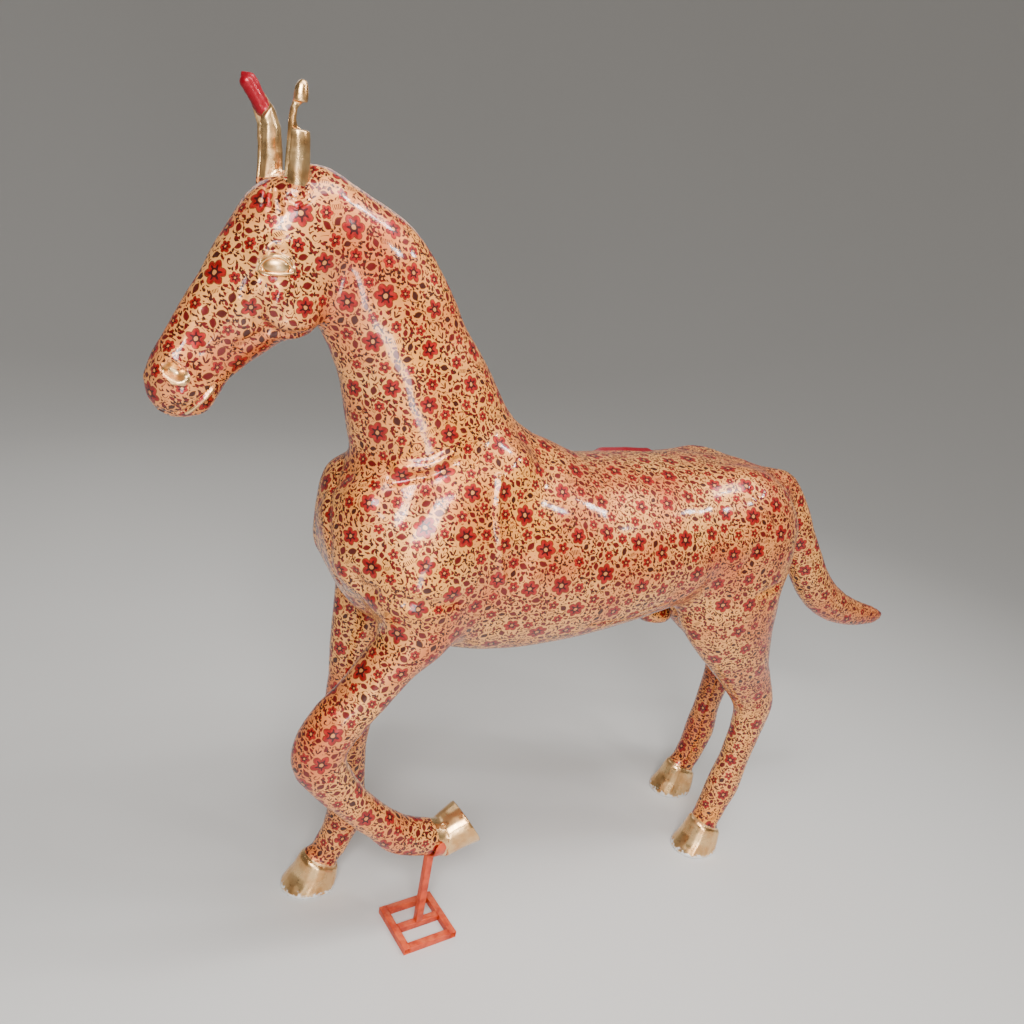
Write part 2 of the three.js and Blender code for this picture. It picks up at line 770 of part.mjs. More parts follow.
function ear(rows, notches, side) {
  const rings = rows.map(({ rise, lean, out, depth, width, from, to }) => {
    const pointAt = (step, inward) => {
      const angle = THREE.MathUtils.degToRad(from + ((to - from) * step) / earSteps);
      const x = Math.cos(angle) * Math.max(depth - inward, 1);
      const y = Math.sin(angle) * Math.max(width - inward, 1);
      return place(earRoot.x - lean + x, side * (earRoot.y + out + y), earRoot.z + rise);
    };
    const outer = Array.from({ length: earSteps + 1 }, (_, step) => pointAt(step, 0));
    const inner = Array.from({ length: earSteps + 1 }, (_, step) => pointAt(earSteps - step, earWall));
    return [...outer, ...inner];
  });
  const whole = solidFrom(loftRings(rings, wallCap));
  return notches.reduce((left, notch) => left.subtract(notchSolid(notch, side)), whole);
}

// Eyes
//
// An eye is a flat ball with the lids as a ring round it. It looks out and a little forward, and its
// long axis rises to the rear.
const eyeAt = { x: -866, y: 90, z: 1701 };
const eyeHalfLength = 25;
const eyeHalfHeight = 14;
const eyeBulge = 14;
const lidRing = 27; // half length of the lids, to the middle of the roll
const lidRoll = 5;
const lidFlatness = 0.56; // height of the ring as a share of its length
const lidStandsOut = 5; // how far the ring lies out from the ball's middle
const eyeTurn = 14; // degrees forward
const eyeRise = 16; // degrees up to the rear

function eye(side) {
  const ball = new THREE.SphereGeometry(1, 12, 8).scale(eyeHalfLength, eyeHalfHeight, eyeBulge);
  const lids = new THREE.TorusGeometry(lidRing, lidRoll, 6, 16);
  lids.scale(1, lidFlatness, 1).translate(0, 0, lidStandsOut);
  const upright = (geometry) =>
    solidFromGeometry(
      geometry
        .rotateZ(THREE.MathUtils.degToRad(side < 0 ? eyeRise : -eyeRise))
        .rotateX(THREE.MathUtils.degToRad(side < 0 ? 90 : -90))
        .rotateZ(THREE.MathUtils.degToRad(side * eyeTurn))
        .scale(share, share, share)
        .translate(eyeAt.x * share, side * eyeAt.y * share, eyeAt.z * share),
    );
  return upright(ball).add(upright(lids));
}

// The saddle, and the seat that it presses into the pastern
const restStation = raisedForeleg.stations.at(-2);
const saddleCentre = restStation.at;
const saddleInnerRadius = restStation.depth;

// Outline of the bent bar in the plane across the pastern: outer line down and round, inner line back.
function saddleOutline(radius, thickness, arm, growth) {
  const outline = new THREE.Shape();
  const outer = radius + thickness + growth;
  const inner = radius - growth;
  const top = arm + growth;
  outline.moveTo(-outer, top);
  outline.lineTo(-outer, 0);
  outline.absarc(0, 0, outer, Math.PI, 2 * Math.PI, false);
  outline.lineTo(outer, top);
  outline.lineTo(inner, top);
  outline.lineTo(inner, 0);
  outline.absarc(0, 0, inner, 2 * Math.PI, Math.PI, true);
  outline.lineTo(-inner, top);
  outline.closePath();
  return outline;
}

const saddleArcSteps = 12;
function saddleSolid(growth) {
  const length = saddleLength + 2 * growth;
  const outline = saddleOutline(saddleInnerRadius, saddleThickness, saddleArm, growth);
  const geometry = new THREE.ExtrudeGeometry(outline, {
    depth: length,
    bevelEnabled: false,
    curveSegments: saddleArcSteps,
  });
  geometry.translate(0, 0, -length / 2);
  geometry.rotateX(Math.PI / 2);
  geometry.rotateZ(Math.PI / 2);
  return solidFromGeometry(geometry);
}

// Two wedges take the corners off each arm, so that the arms end narrower than the bar.
function armTrim(growth) {
  const outer = saddleInnerRadius + saddleThickness + 2 * pieceGap;
  const half = saddleLength / 2 + growth;
  const top = saddleArm + growth;
  const side = new THREE.Shape();
  side.moveTo(half + saddleLength, 0);
  side.lineTo(half + saddleLength, top + saddleLength);
  side.lineTo(half - saddleNarrowing - saddleNarrowing, top + saddleLength);
  side.lineTo(half - saddleNarrowing, top);
  side.lineTo(half, 0);
  side.closePath();
  const geometry = new THREE.ExtrudeGeometry(side, { depth: 2 * outer, bevelEnabled: false });
  geometry.translate(0, 0, -outer);
  geometry.rotateX(Math.PI / 2);
  return solidFromGeometry(geometry);
}

function trimmedSaddle(growth) {
  const wedge = armTrim(growth);
  const otherWedge = wedge.rotate([0, 0, 180]);
  return saddleSolid(growth).subtract(wedge).subtract(otherWedge);
}

// Horse
const gridRoom = 3; // steps of free grid round the outermost form
function horseSkin() {
  const box = new THREE.Box3();
  const room = gridRoom * skinStep * share;
  for (const cone of addedForms.flatMap(conesOf)) box.union(boxOfCone(cone, room));
  const field = new Field(box, skinStep * share);
  for (const shape of addedForms) applyForm(field, shape, 1);
  for (const shape of carvedForms) applyForm(field, shape, -1);
  untangle(field);
  const start = place(headStart.x, 0, headStart.z);
  const finenessAt = (x, z) => (x < start.x && z > start.z ? headFineness : 1);
  return thinOut(skinOf(field), skinFaces, finenessAt);
}

// The seat is the saddle with a gap all round, and the head of the post below it.
function seatCut() {
  const side = postTube + 2 * pieceGap;
  const reach = saddleInnerRadius + saddleThickness;
  const headTop = saddleThickness / 2 - reach; // half way into the saddle's plate
  const postHead = new THREE.BoxGeometry(side, side, reach);
  postHead.translate(0, 0, headTop - reach / 2);
  return trimmedSaddle(pieceGap)
    .add(solidFromGeometry(postHead))
    .rotate([0, 0, standTurn])
    .translate([saddleCentre.x, saddleCentre.y, saddleCentre.z]);
}

function horseSolid() {
  const ears = [ear(leftEarRows, leftEarNotches, -1), ear(rightEarRows, rightEarNotches, 1)];
  const added = [...standingHooves.map(standingHoof), raisedHoof(), ...ears, eye(-1), eye(1)];
  const whole = added.reduce((joined, piece) => joined.add(piece), solidFrom(horseSkin()));
  return whole.subtract(seatCut());
}

// Materials
const lacqueredPrint = new THREE.MeshStandardMaterial({ color: 0xd9a679, roughness: 0.25, metalness: 0 });
const paintedSteel = (name) =>
  new THREE.MeshStandardMaterial({ name, color: 0xcd5f3c, roughness: 0.55, metalness: 0.1 });

function namedMesh(name, geometry, material) {
  const mesh = new THREE.Mesh(geometry, material);
  mesh.name = name;
  return mesh;
}

// Stand
//
// A length of square tube along Z, open at both ends.
function squareTube(side, wall, length) {
  const half = side / 2;
  const bore = half - wall;
  const outline = new THREE.Shape([
    new THREE.Vector2(-half, -half),
    new THREE.Vector2(half, -half),
    new THREE.Vector2(half, half),
    new THREE.Vector2(-half, half),
  ]);
  outline.holes.push(
    new THREE.Path([
      new THREE.Vector2(-bore, -bore),
      new THREE.Vector2(-bore, bore),
      new THREE.Vector2(bore, bore),
      new THREE.Vector2(bore, -bore),
    ]),
  );
  const geometry = new THREE.ExtrudeGeometry(outline, { depth: length, bevelEnabled: false });
  geometry.translate(0, 0, -length / 2);
  return geometry;
}

function stand() {
  const group = new THREE.Group();
  const sideBarX = (footLength - footTube) / 2;
  const crossBarLength = footLength - 2 * footTube - 2 * pieceGap;
  const endBarY = (footWidth - footTube) / 2;
  const tubeCentre = footTube / 2;

  for (const [name, x] of [["foot_bar_front", -sideBarX], ["foot_bar_rear", sideBarX]]) {
    const bar = namedMesh(name, squareTube(footTube, footTubeWall, footWidth), paintedSteel(name));
    bar.rotation.x = Math.PI / 2;
    bar.position.set(x, 0, tubeCentre);
    group.add(bar);
  }
  const alongBars = [["foot_bar_left", -endBarY], ["foot_bar_middle", 0], ["foot_bar_right", endBarY]];
  for (const [name, y] of alongBars) {
    const bar = namedMesh(name, squareTube(footTube, footTubeWall, crossBarLength), paintedSteel(name));
    bar.rotation.y = Math.PI / 2;
    bar.position.set(0, y, tubeCentre);
    group.add(bar);
  }

  const postBottom = footTube + pieceGap;
  const postTop = saddleCentre.z - saddleInnerRadius - saddleThickness - pieceGap;
  const upright = squareTube(postTube, postTubeWall, postTop - postBottom);
  const post = namedMesh("post", upright, paintedSteel("post"));
  post.position.z = (postTop + postBottom) / 2;
  group.add(post);

  const saddle = namedMesh("saddle", geometryFrom(trimmedSaddle(0)), paintedSteel("saddle"));
  saddle.position.z = saddleCentre.z;
  group.add(saddle);

  group.rotation.z = THREE.MathUtils.degToRad(standTurn);
  group.position.set(saddleCentre.x, saddleCentre.y, 0);
  return group;
}

const statue = new THREE.Group();
statue.add(namedMesh("horse", geometryFrom(horseSolid()), lacqueredPrint));
statue.add(stand());

const middle = new THREE.Box3().setFromObject(statue).getCenter(new THREE.Vector3());
statue.position.set(-middle.x, -middle.y, 0);

export default statue;
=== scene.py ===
# %% [markdown]
# # A lacquered horse statue on its small stand
#
# The real thing is a life-size horse of layered paper. Printed floral paper covers it, a thick clear
# lacquer closes it, and the hooves, ears, eyes and nostrils are gilded. The raised forefoot lies in
# the saddle of a stand that is welded from square steel tube.
#
# The solids give the whole form and every place. This script copies them and works them finer, as a
# sculptor would smooth, crease and paint a rough cast.

# %% Load the solids
import math
from contextlib import contextmanager

import bpy
import numpy as np
from mathutils import Euler, Matrix, Vector, kdtree, noise


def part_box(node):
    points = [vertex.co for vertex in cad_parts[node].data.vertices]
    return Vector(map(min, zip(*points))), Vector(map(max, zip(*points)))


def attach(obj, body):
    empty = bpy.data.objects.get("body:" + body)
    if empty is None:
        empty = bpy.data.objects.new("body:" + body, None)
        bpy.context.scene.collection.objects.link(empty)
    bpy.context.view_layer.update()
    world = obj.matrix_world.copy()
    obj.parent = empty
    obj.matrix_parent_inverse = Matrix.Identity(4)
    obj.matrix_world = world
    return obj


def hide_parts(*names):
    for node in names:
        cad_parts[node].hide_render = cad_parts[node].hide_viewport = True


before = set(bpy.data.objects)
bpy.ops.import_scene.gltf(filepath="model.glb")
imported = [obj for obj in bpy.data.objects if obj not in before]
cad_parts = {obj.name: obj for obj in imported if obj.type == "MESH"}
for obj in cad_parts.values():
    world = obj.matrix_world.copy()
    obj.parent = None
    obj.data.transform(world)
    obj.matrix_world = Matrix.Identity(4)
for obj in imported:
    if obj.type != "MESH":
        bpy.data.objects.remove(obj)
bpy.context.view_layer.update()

bpy.ops.object.select_all(action="DESELECT")
print("nodes:", sorted(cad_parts))

# %% [markdown]
# ## Where things are
#
# The figure is measured from its own middle under the withers, and the post of the stand is the one
# piece whose place there is known exactly. So the post's box says where the figure's middle is, and
# every place below is given from it in metres: x to the tail, y to the right side, z up.

# %% Places on the figure
POST_FROM_MIDDLE = Vector((-0.350, -0.133, 0.0))


def middle_of(node):
    low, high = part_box(node)
    return (low + high) / 2


figure_middle = middle_of("post") - POST_FROM_MIDDLE
figure_middle.z = 0.0


def place(x, y, z):
    """A point of the figure, in the scene."""
    return figure_middle + Vector((x, y, z))


print("figure's middle:", [round(v, 4) for v in figure_middle])

# %% [markdown]
# ## Camera
#
# The photograph was taken from the left and a little ahead, from above the withers, with the camera
# tipped sideways by ten degrees. A camera's own axes are built here from three turns: round the
# upright, down, and about the line of sight.

# %% Camera
CAMERA_PLACE = place(-1.3051, -1.7690, 1.8909)
CAMERA_TURN = math.radians(-31.825)
CAMERA_DOWN = math.radians(19.337)
CAMERA_ROLL = math.radians(10.468)
CAMERA_SENSOR = 36.0
CAMERA_LENS = 31.017


def camera_axes(turn, down, roll):
    sight = Vector((-math.sin(turn) * math.cos(down), math.cos(turn) * math.cos(down), -math.sin(down)))
    level = Vector((math.cos(turn), math.sin(turn), 0.0))
    upright = level.cross(sight)
    right = math.cos(roll) * level + math.sin(roll) * upright
    up = -math.sin(roll) * level + math.cos(roll) * upright
    return right, up, -sight


camera_data = bpy.data.cameras.new("camera")
camera_data.sensor_width = CAMERA_SENSOR
camera_data.lens = CAMERA_LENS
camera = bpy.data.objects.new("camera", camera_data)
bpy.context.scene.collection.objects.link(camera)
camera.matrix_world = Matrix.LocRotScale(
    CAMERA_PLACE, Matrix(camera_axes(CAMERA_TURN, CAMERA_DOWN, CAMERA_ROLL)).transposed(), None
)
bpy.context.scene.camera = camera
print("camera at", [round(v, 3) for v in camera.location])

# %% [markdown]
# ## Shaping helpers
#
# A few steps come back on every piece: copy a solid and merge its loose triangles, cut it with a box,
# rebuild its surface as an even net of small squares, and relax that net. Relaxing by turns inwards
# and outwards takes the facets away and keeps the volume, which plain smoothing would not.

# %% Copying, cutting and relaxing
MERGE_DISTANCE = 1e-5
RELAX_IN = 0.5
RELAX_OUT = -0.53


def only(piece):
    """Makes a piece the only selected and the active object."""
    bpy.ops.object.select_all(action="DESELECT")
    piece.select_set(True)
    bpy.context.view_layer.objects.active = piece


@contextmanager
def all_selected(piece):
    """Opens a piece in edit mode with all of it selected, and closes it after the steps within."""
    only(piece)
    bpy.ops.object.mode_set(mode="EDIT")
    bpy.ops.mesh.select_all(action="SELECT")
    yield
    bpy.ops.object.mode_set(mode="OBJECT")


def merged_copy(node, name):
    """A free copy of a solid, with its triangles merged into one closed mesh."""
    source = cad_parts[node]
    piece = bpy.data.objects.new(name, source.data.copy())
    piece.data.name = name
    piece.data.materials.clear()
    bpy.context.scene.collection.objects.link(piece)
    with all_selected(piece):
        bpy.ops.mesh.remove_doubles(threshold=MERGE_DISTANCE)
    if piece.data.has_custom_normals:
        bpy.ops.mesh.customdata_custom_splitnormals_clear()
    return piece


def apply_modifiers(piece):
    only(piece)
    for modifier in list(piece.modifiers):
        bpy.ops.object.modifier_apply(modifier=modifier.name)


def box_at(centre, size, turn=(0.0, 0.0, 0.0)):
    """A cutting box with its middle at a place."""
    bpy.ops.mesh.primitive_cube_add(size=1.0, location=centre, rotation=turn, scale=size)
    return bpy.context.active_object


def combine(piece, tool, operation):
    """Joins or cuts a piece with a tool, which is used up."""
    step = piece.modifiers.new(operation.lower(), "BOOLEAN")
    step.operation = operation
    step.solver = "MANIFOLD"
    step.object = tool
    apply_modifiers(piece)
    bpy.data.objects.remove(tool)


def rebuild(piece, step):
    """Gives a piece a new even skin of squares with this side."""
    only(piece)
    piece.data.remesh_voxel_size = step
    bpy.ops.object.voxel_remesh()


def relax_selected(rounds):
    for _ in range(rounds):
        bpy.ops.mesh.vertices_smooth(factor=RELAX_IN)
        bpy.ops.mesh.vertices_smooth(factor=RELAX_OUT)


def relax(piece, rounds):
    with all_selected(piece):
        relax_selected(rounds)


def read(items, field, width=1, kind=float):
    """One field of all points, corners or faces of a mesh, with a row for each."""
    values = np.empty(len(items) * width, kind)
    items.foreach_get(field, values)
    return values.reshape(-1, width) if width > 1 else values


def points_of(piece):
    return read(piece.data.vertices, "co", 3)


def normals_of(piece):
    return read(piece.data.vertices, "normal", 3)


def set_points(piece, points):
    piece.data.vertices.foreach_set("co", points.ravel())
    piece.data.update()


# %% [markdown]
# ## Skin
#
# The body, head, legs and tail are one smooth skin. The ears and hooves have thin walls and sharp rims
# that a coarse net would lose, so they are worked at a finer step of their own. Here the ears come off
# the skull, and the skin is rebuilt and relaxed.

# %% The body's skin
SKIN_STEP = 0.0120
SKIN_ROUNDS = 26
TRUNK_ROUNDS = 150
TRUNK_LOW = 0.72
NECK_LOW = 1.10
NECK_TOP = place(-0.72, 0.0, 1.80)
TAIL_START = place(0.80, 0.0, 1.20)
EAR_BOX_HEIGHT = 0.22
LEFT_EAR_LOW = place(-0.868, -0.090, 1.858)
LEFT_EAR_HIGH = place(-0.799, -0.014, 1.858 + EAR_BOX_HEIGHT)
RIGHT_EAR_LOW = place(-0.940, 0.014, 1.849)
RIGHT_EAR_HIGH = place(-0.824, 0.092, 1.849 + EAR_BOX_HEIGHT)
EAR_BOXES = {"left_ear": (LEFT_EAR_LOW, LEFT_EAR_HIGH), "right_ear": (RIGHT_EAR_LOW, RIGHT_EAR_HIGH)}


def box_between(low, high):
    return box_at((low + high) / 2, high - low)


def relax_trunk(piece):
    """Relaxes the barrel, neck and croup further, whose flat facets are wide."""
    points = points_of(piece)
    trunk = (points[:, 2] > TRUNK_LOW) & (points[:, 0] > NECK_TOP.x) & (points[:, 0] < TAIL_START.x)
    trunk |= (points[:, 0] > NECK_TOP.x) & (points[:, 2] > NECK_LOW)
    with all_selected(piece):
        bpy.ops.mesh.select_all(action="DESELECT")
    piece.data.vertices.foreach_set("select", trunk)
    bpy.ops.object.mode_set(mode="EDIT")
    relax_selected(TRUNK_ROUNDS)
    bpy.ops.object.mode_set(mode="OBJECT")


skin = merged_copy("horse", "figure")
for low, high in EAR_BOXES.values():
    combine(skin, box_between(low, high), "DIFFERENCE")
rebuild(skin, SKIN_STEP)
relax(skin, SKIN_ROUNDS)
relax_trunk(skin)
print("skin:", len(skin.data.vertices), "points")

# %% [markdown]
# ## Finer skin where the hand has worked finely
#
# The eyes, nostrils, lips and the creases below the ears need a finer net than the barrel. Squares
# that are split with the rest kept make the net finer only where it is needed.

# %% Finer net on the head
HEAD_START = place(-0.72, 0.0, 1.36)
HEAD_ROUNDS = 6
FACE_PARTS = {
    "eyes": (place(-0.866, 0.0, 1.70), 0.052),
    "nostrils": (place(-1.027, 0.0, 1.475), 0.042),
    "mouth": (place(-0.985, 0.0, 1.415), 0.046),
    "ear_roots": (place(-0.850, 0.0, 1.818), 0.050),
}


def face_centres(piece):
    return read(piece.data.polygons, "center", 3)


def split_faces(piece, chosen):
    """Splits the chosen faces once, each side in two."""
    only(piece)
    mesh = piece.data
    mesh.polygons.foreach_set("select", chosen)
    corners = np.repeat(chosen, read(mesh.polygons, "loop_total", kind=np.int32))
    for items, field in ((mesh.edges, "edge_index"), (mesh.vertices, "vertex_index")):
        selected = np.zeros(len(items), bool)
        selected[read(mesh.loops, field, kind=np.int32)[corners]] = True
        items.foreach_set("select", selected)
    bpy.ops.object.mode_set(mode="EDIT")
    bpy.ops.mesh.subdivide(number_cuts=1, smoothness=0.0)
    bpy.ops.object.mode_set(mode="OBJECT")


def near_upright_line(points, centre, radius):
    """Which points lie within a radius of a place, seen from the side."""
    flat = points[:, [0, 2]] - np.array([centre.x, centre.z])
    return np.hypot(flat[:, 0], flat[:, 1]) < radius


centres = face_centres(skin)
split_faces(skin, (centres[:, 0] < HEAD_START.x) & (centres[:, 2] > HEAD_START.z))
centres = face_centres(skin)
on_face = np.zeros(len(centres), bool)
for centre, radius in FACE_PARTS.values():
    on_face |= near_upright_line(centres, centre, radius)
split_faces(skin, on_face)
relax(skin, HEAD_ROUNDS)
print("skin with a finer head:", len(skin.data.vertices), "points")

# %% [markdown]
# ## Hooves
#
# A hoof is a smooth horn with a sharp sole, set on the pastern with a small step at the coronet, which
# slopes down to the heel. The four are cut out of the solid with one box each, whose top lies in the
# slope of the coronet, and get a finer net.

# %% Hooves
HOOF_STEP = 0.0046
HOOF_ROUNDS = 8
CORONET_SLOPE = math.radians(24.0)
HOOF_BOX = Vector((0.26, 0.20, 0.20))
HOOF_REACH = HOOF_BOX.x * 0.6
RAISED_PITCH = math.radians(-123.0)
STAND_TURN = math.radians(4.4)
HOOVES = {
    "right_fore": (place(-0.558, 0.107, 0.0821), 0.0, 0.0),
    "left_hind": (place(0.676, -0.113, 0.0903), 0.0, 0.0),
    "right_hind": (place(0.796, 0.166, 0.0903), 0.0, 0.0),
    "left_fore": (place(-0.324, -0.130, 0.288), RAISED_PITCH, STAND_TURN),
}


def coronet_plane(name):
    """The middle of a coronet and the direction up the leg, square to the coronet."""
    centre, pitch, turn = HOOVES[name]
    upwards = Euler((0.0, pitch + CORONET_SLOPE, turn)).to_matrix() @ Vector((0.0, 0.0, 1.0))
    return centre, upwards


def below_coronet(points, name):
    """How far points lie down the hoof from the coronet, or a negative value above it or far off."""
    centre, upwards = coronet_plane(name)
    offset = points - np.array(centre)
    depth = -offset @ np.array(upwards)
    return np.where(np.linalg.norm(offset, axis=1) < HOOF_REACH, depth, -1.0)


def hoof(name):
    centre, pitch, turn = HOOVES[name]
    piece = merged_copy("horse", "hoof_" + name)
    _, upwards = coronet_plane(name)
    cutter = box_at(centre - upwards * HOOF_BOX.z / 2, HOOF_BOX, (0.0, pitch + CORONET_SLOPE, turn))
    combine(piece, cutter, "INTERSECT")
    rebuild(piece, HOOF_STEP)
    relax(piece, HOOF_ROUNDS)
    return piece


hooves = [hoof(name) for name in HOOVES]
print("hooves:", [len(piece.data.vertices) for piece in hooves], "points")

# %% [markdown]
# ## Ears
#
# An ear is a thin curved wall, open to the front. They are cut out of the solid in the same way. The
# lower rim is drawn down into the skull, so that the ear will grow out of it when the two are joined.

# %% Ears
EAR_STEP = 0.0034
EAR_ROUNDS = 24
EAR_DRAW = 0.022
TONGUE_LOW = place(-0.876, 0.051, 1.966)
TONGUE_HIGH = place(-0.906, 0.053, 2.004)
TONGUE_RADIUS = 0.0145
TONGUE_BALLS = 5


def add_tongue(piece):
    """Fills the upper part of the far ear's trough with a rounded tongue, ball by ball."""
    for step in range(TONGUE_BALLS):
        centre = TONGUE_LOW.lerp(TONGUE_HIGH, step / (TONGUE_BALLS - 1))
        bpy.ops.mesh.primitive_ico_sphere_add(subdivisions=3, radius=TONGUE_RADIUS, location=centre)
        combine(piece, bpy.context.active_object, "UNION")


def ear(name):
    low, high = EAR_BOXES[name]
    piece = merged_copy("horse", name)
    combine(piece, box_between(low, high), "INTERSECT")
    points = points_of(piece)
    points[points[:, 2] < low.z + MERGE_DISTANCE, 2] -= EAR_DRAW
    set_points(piece, points)
    if name == "right_ear":
        add_tongue(piece)
    rebuild(piece, EAR_STEP)
    relax(piece, EAR_ROUNDS)
    return piece


ears = [ear(name) for name in EAR_BOXES]
print("ears:", [len(piece.data.vertices) for piece in ears], "points")

# %% [markdown]
# ## Strokes of the modelling tool
#
# Folds, creases and ridges are strokes of a tool along short paths on the figure. Each lifts or presses
# the skin along its normals, most on the path and fading out at its edge. The same stroke on the far
# side, which the photograph doesn't show, is its mirror image and shallower.

# %% Stroke helpers
FAR_SIDE_SHARE = 0.7
NEAR = 1
FAR = -1


def ease(value):
    """Runs smoothly from 0 to 1 as the value does."""
    value = np.clip(value, 0.0, 1.0)
    return value * value * (3.0 - 2.0 * value)


def path_on(side, path):
    """A path given on the near side, as scene points there or mirrored on the far side."""
    return [np.array(place(x, y * side, z)) for x, y, z in path]


def distance_to_path(points, path):
    nearest = np.full(len(points), np.inf)
    for start, end in zip(path, path[1:]):
        along = end - start
        share = np.clip((points - start) @ along / (along @ along), 0.0, 1.0)
        nearest = np.minimum(nearest, np.linalg.norm(points - start - share[:, None] * along, axis=1))
    return nearest


def stroke(points, path, radius, height):
    """How far one stroke lifts each point."""
    reach = np.clip(distance_to_path(points, path) / radius, 0.0, 1.0)
    return height * (1.0 - reach ** 2) ** 2


def press(piece, strokes):
    """Works a table of strokes into a piece, on both sides."""
    points = points_of(piece)
    lift = np.zeros(len(points))
    for radius, height, path in strokes.values():
        lift += stroke(points, path_on(NEAR, path), radius, height)
        lift += stroke(points, path_on(FAR, path), radius, height * FAR_SIDE_SHARE)
    set_points(piece, points + normals_of(piece) * lift[:, None])


# %% [markdown]
# ## Folds of the body
#
# The photograph shows a bright fold across the chest, one where the raised forearm leaves the shoulder,
# the raised seam down behind the shoulder, the furrow of the breast, and creases at the tail's root and
# buttock. A red welt lies along the far side of the back. The net is split once round them all, so that
# a narrow crease stays sharp.

# %% Folds of the body
BODY_STROKES = {
    "chest_ridge": (
        0.022, 0.008, [(-0.577, -0.111, 1.311), (-0.512, -0.139, 1.326), (-0.479, -0.142, 1.349)],
    ),
    "chest_groove": (
        0.015, -0.006, [(-0.589, -0.116, 1.281), (-0.526, -0.138, 1.306), (-0.468, -0.146, 1.336)],
    ),
    "arm_fold": (0.026, -0.009, [(-0.563, -0.219, 1.047), (-0.530, -0.228, 1.040), (-0.443, -0.230, 1.043)]),
    "shoulder_seam": (
        0.012, 0.008,
        [(-0.366, -0.177, 1.315), (-0.373, -0.201, 1.258), (-0.370, -0.213, 1.213), (-0.340, -0.224, 1.088)],
    ),
    "breast_line": (
        0.020, -0.006,
        [(-0.652, 0.034, 1.271), (-0.691, -0.027, 1.195), (-0.692, -0.057, 1.136), (-0.659, -0.058, 1.025)],
    ),
    "armpit": (0.030, -0.012, [(-0.658, -0.128, 1.073), (-0.638, -0.138, 1.045), (-0.622, -0.164, 1.047)]),
    "croup_crease": (0.024, -0.005, [(0.410, -0.182, 1.281), (0.463, -0.220, 1.227), (0.483, -0.229, 1.199)]),
    "buttock_fold": (0.018, -0.006, [(0.473, -0.239, 0.999), (0.506, -0.236, 1.008), (0.549, -0.228, 1.016)]),
    "thigh_groove": (0.030, -0.005, [(0.384, -0.242, 1.087), (0.400, -0.244, 1.116), (0.419, -0.243, 1.147)]),
    "flank_hollow": (0.050, -0.006, [(0.182, -0.244, 1.037), (0.127, -0.256, 1.088), (0.105, -0.249, 1.141)]),
    "tail_groove": (0.010, -0.003, [(0.965, -0.065, 0.885), (1.039, -0.065, 0.843), (1.116, -0.062, 0.787)]),
    "tail_strand": (0.010, -0.003, [(0.907, -0.058, 0.913), (1.004, -0.061, 0.825), (1.093, -0.059, 0.780)]),
}
BODY_SPLIT_MARGIN = 0.012
FOLD_ROUNDS = 3
BACK_STRIP = [(0.095, 0.094, 1.295), (0.160, 0.080, 1.302), (0.250, 0.098, 1.297)]
BACK_STRIP_RADIUS = 0.022
BACK_STRIP_HEIGHT = 0.009


def near_strokes(centres, strokes, margin):
    """Which places lie on a stroke of the table, or within the margin of its edge."""
    chosen = np.zeros(len(centres), bool)
    for radius, _, path in strokes.values():
        for side in (NEAR, FAR):
            chosen |= distance_to_path(centres, path_on(side, path)) < radius + margin
    return chosen


def to_back_strip(points):
    """How far points lie from the middle of the red strip, which the far side of the back wears."""
    return distance_to_path(points, path_on(NEAR, BACK_STRIP))


centres = face_centres(skin)
worked = near_strokes(centres, BODY_STROKES, BODY_SPLIT_MARGIN)
split_faces(skin, worked | (to_back_strip(centres) < BACK_STRIP_RADIUS + BODY_SPLIT_MARGIN))
relax(skin, FOLD_ROUNDS)
press(skin, BODY_STROKES)
welt = stroke(points_of(skin), path_on(NEAR, BACK_STRIP), BACK_STRIP_RADIUS, BACK_STRIP_HEIGHT)
set_points(skin, points_of(skin) + normals_of(skin) * welt[:, None])
print("skin with its folds:", len(skin.data.vertices), "points")

# %% [markdown]
# ## Face
#
# The head is modelled more finely than the rest: a brow with a second line above the upper lid, a tear
# duct, the round cheek with its ridge and dark crease, the face crest, hollow nostrils with a rolled
# lower rim, the line of the lips, and wrinkles where the skin bunches below the ears.

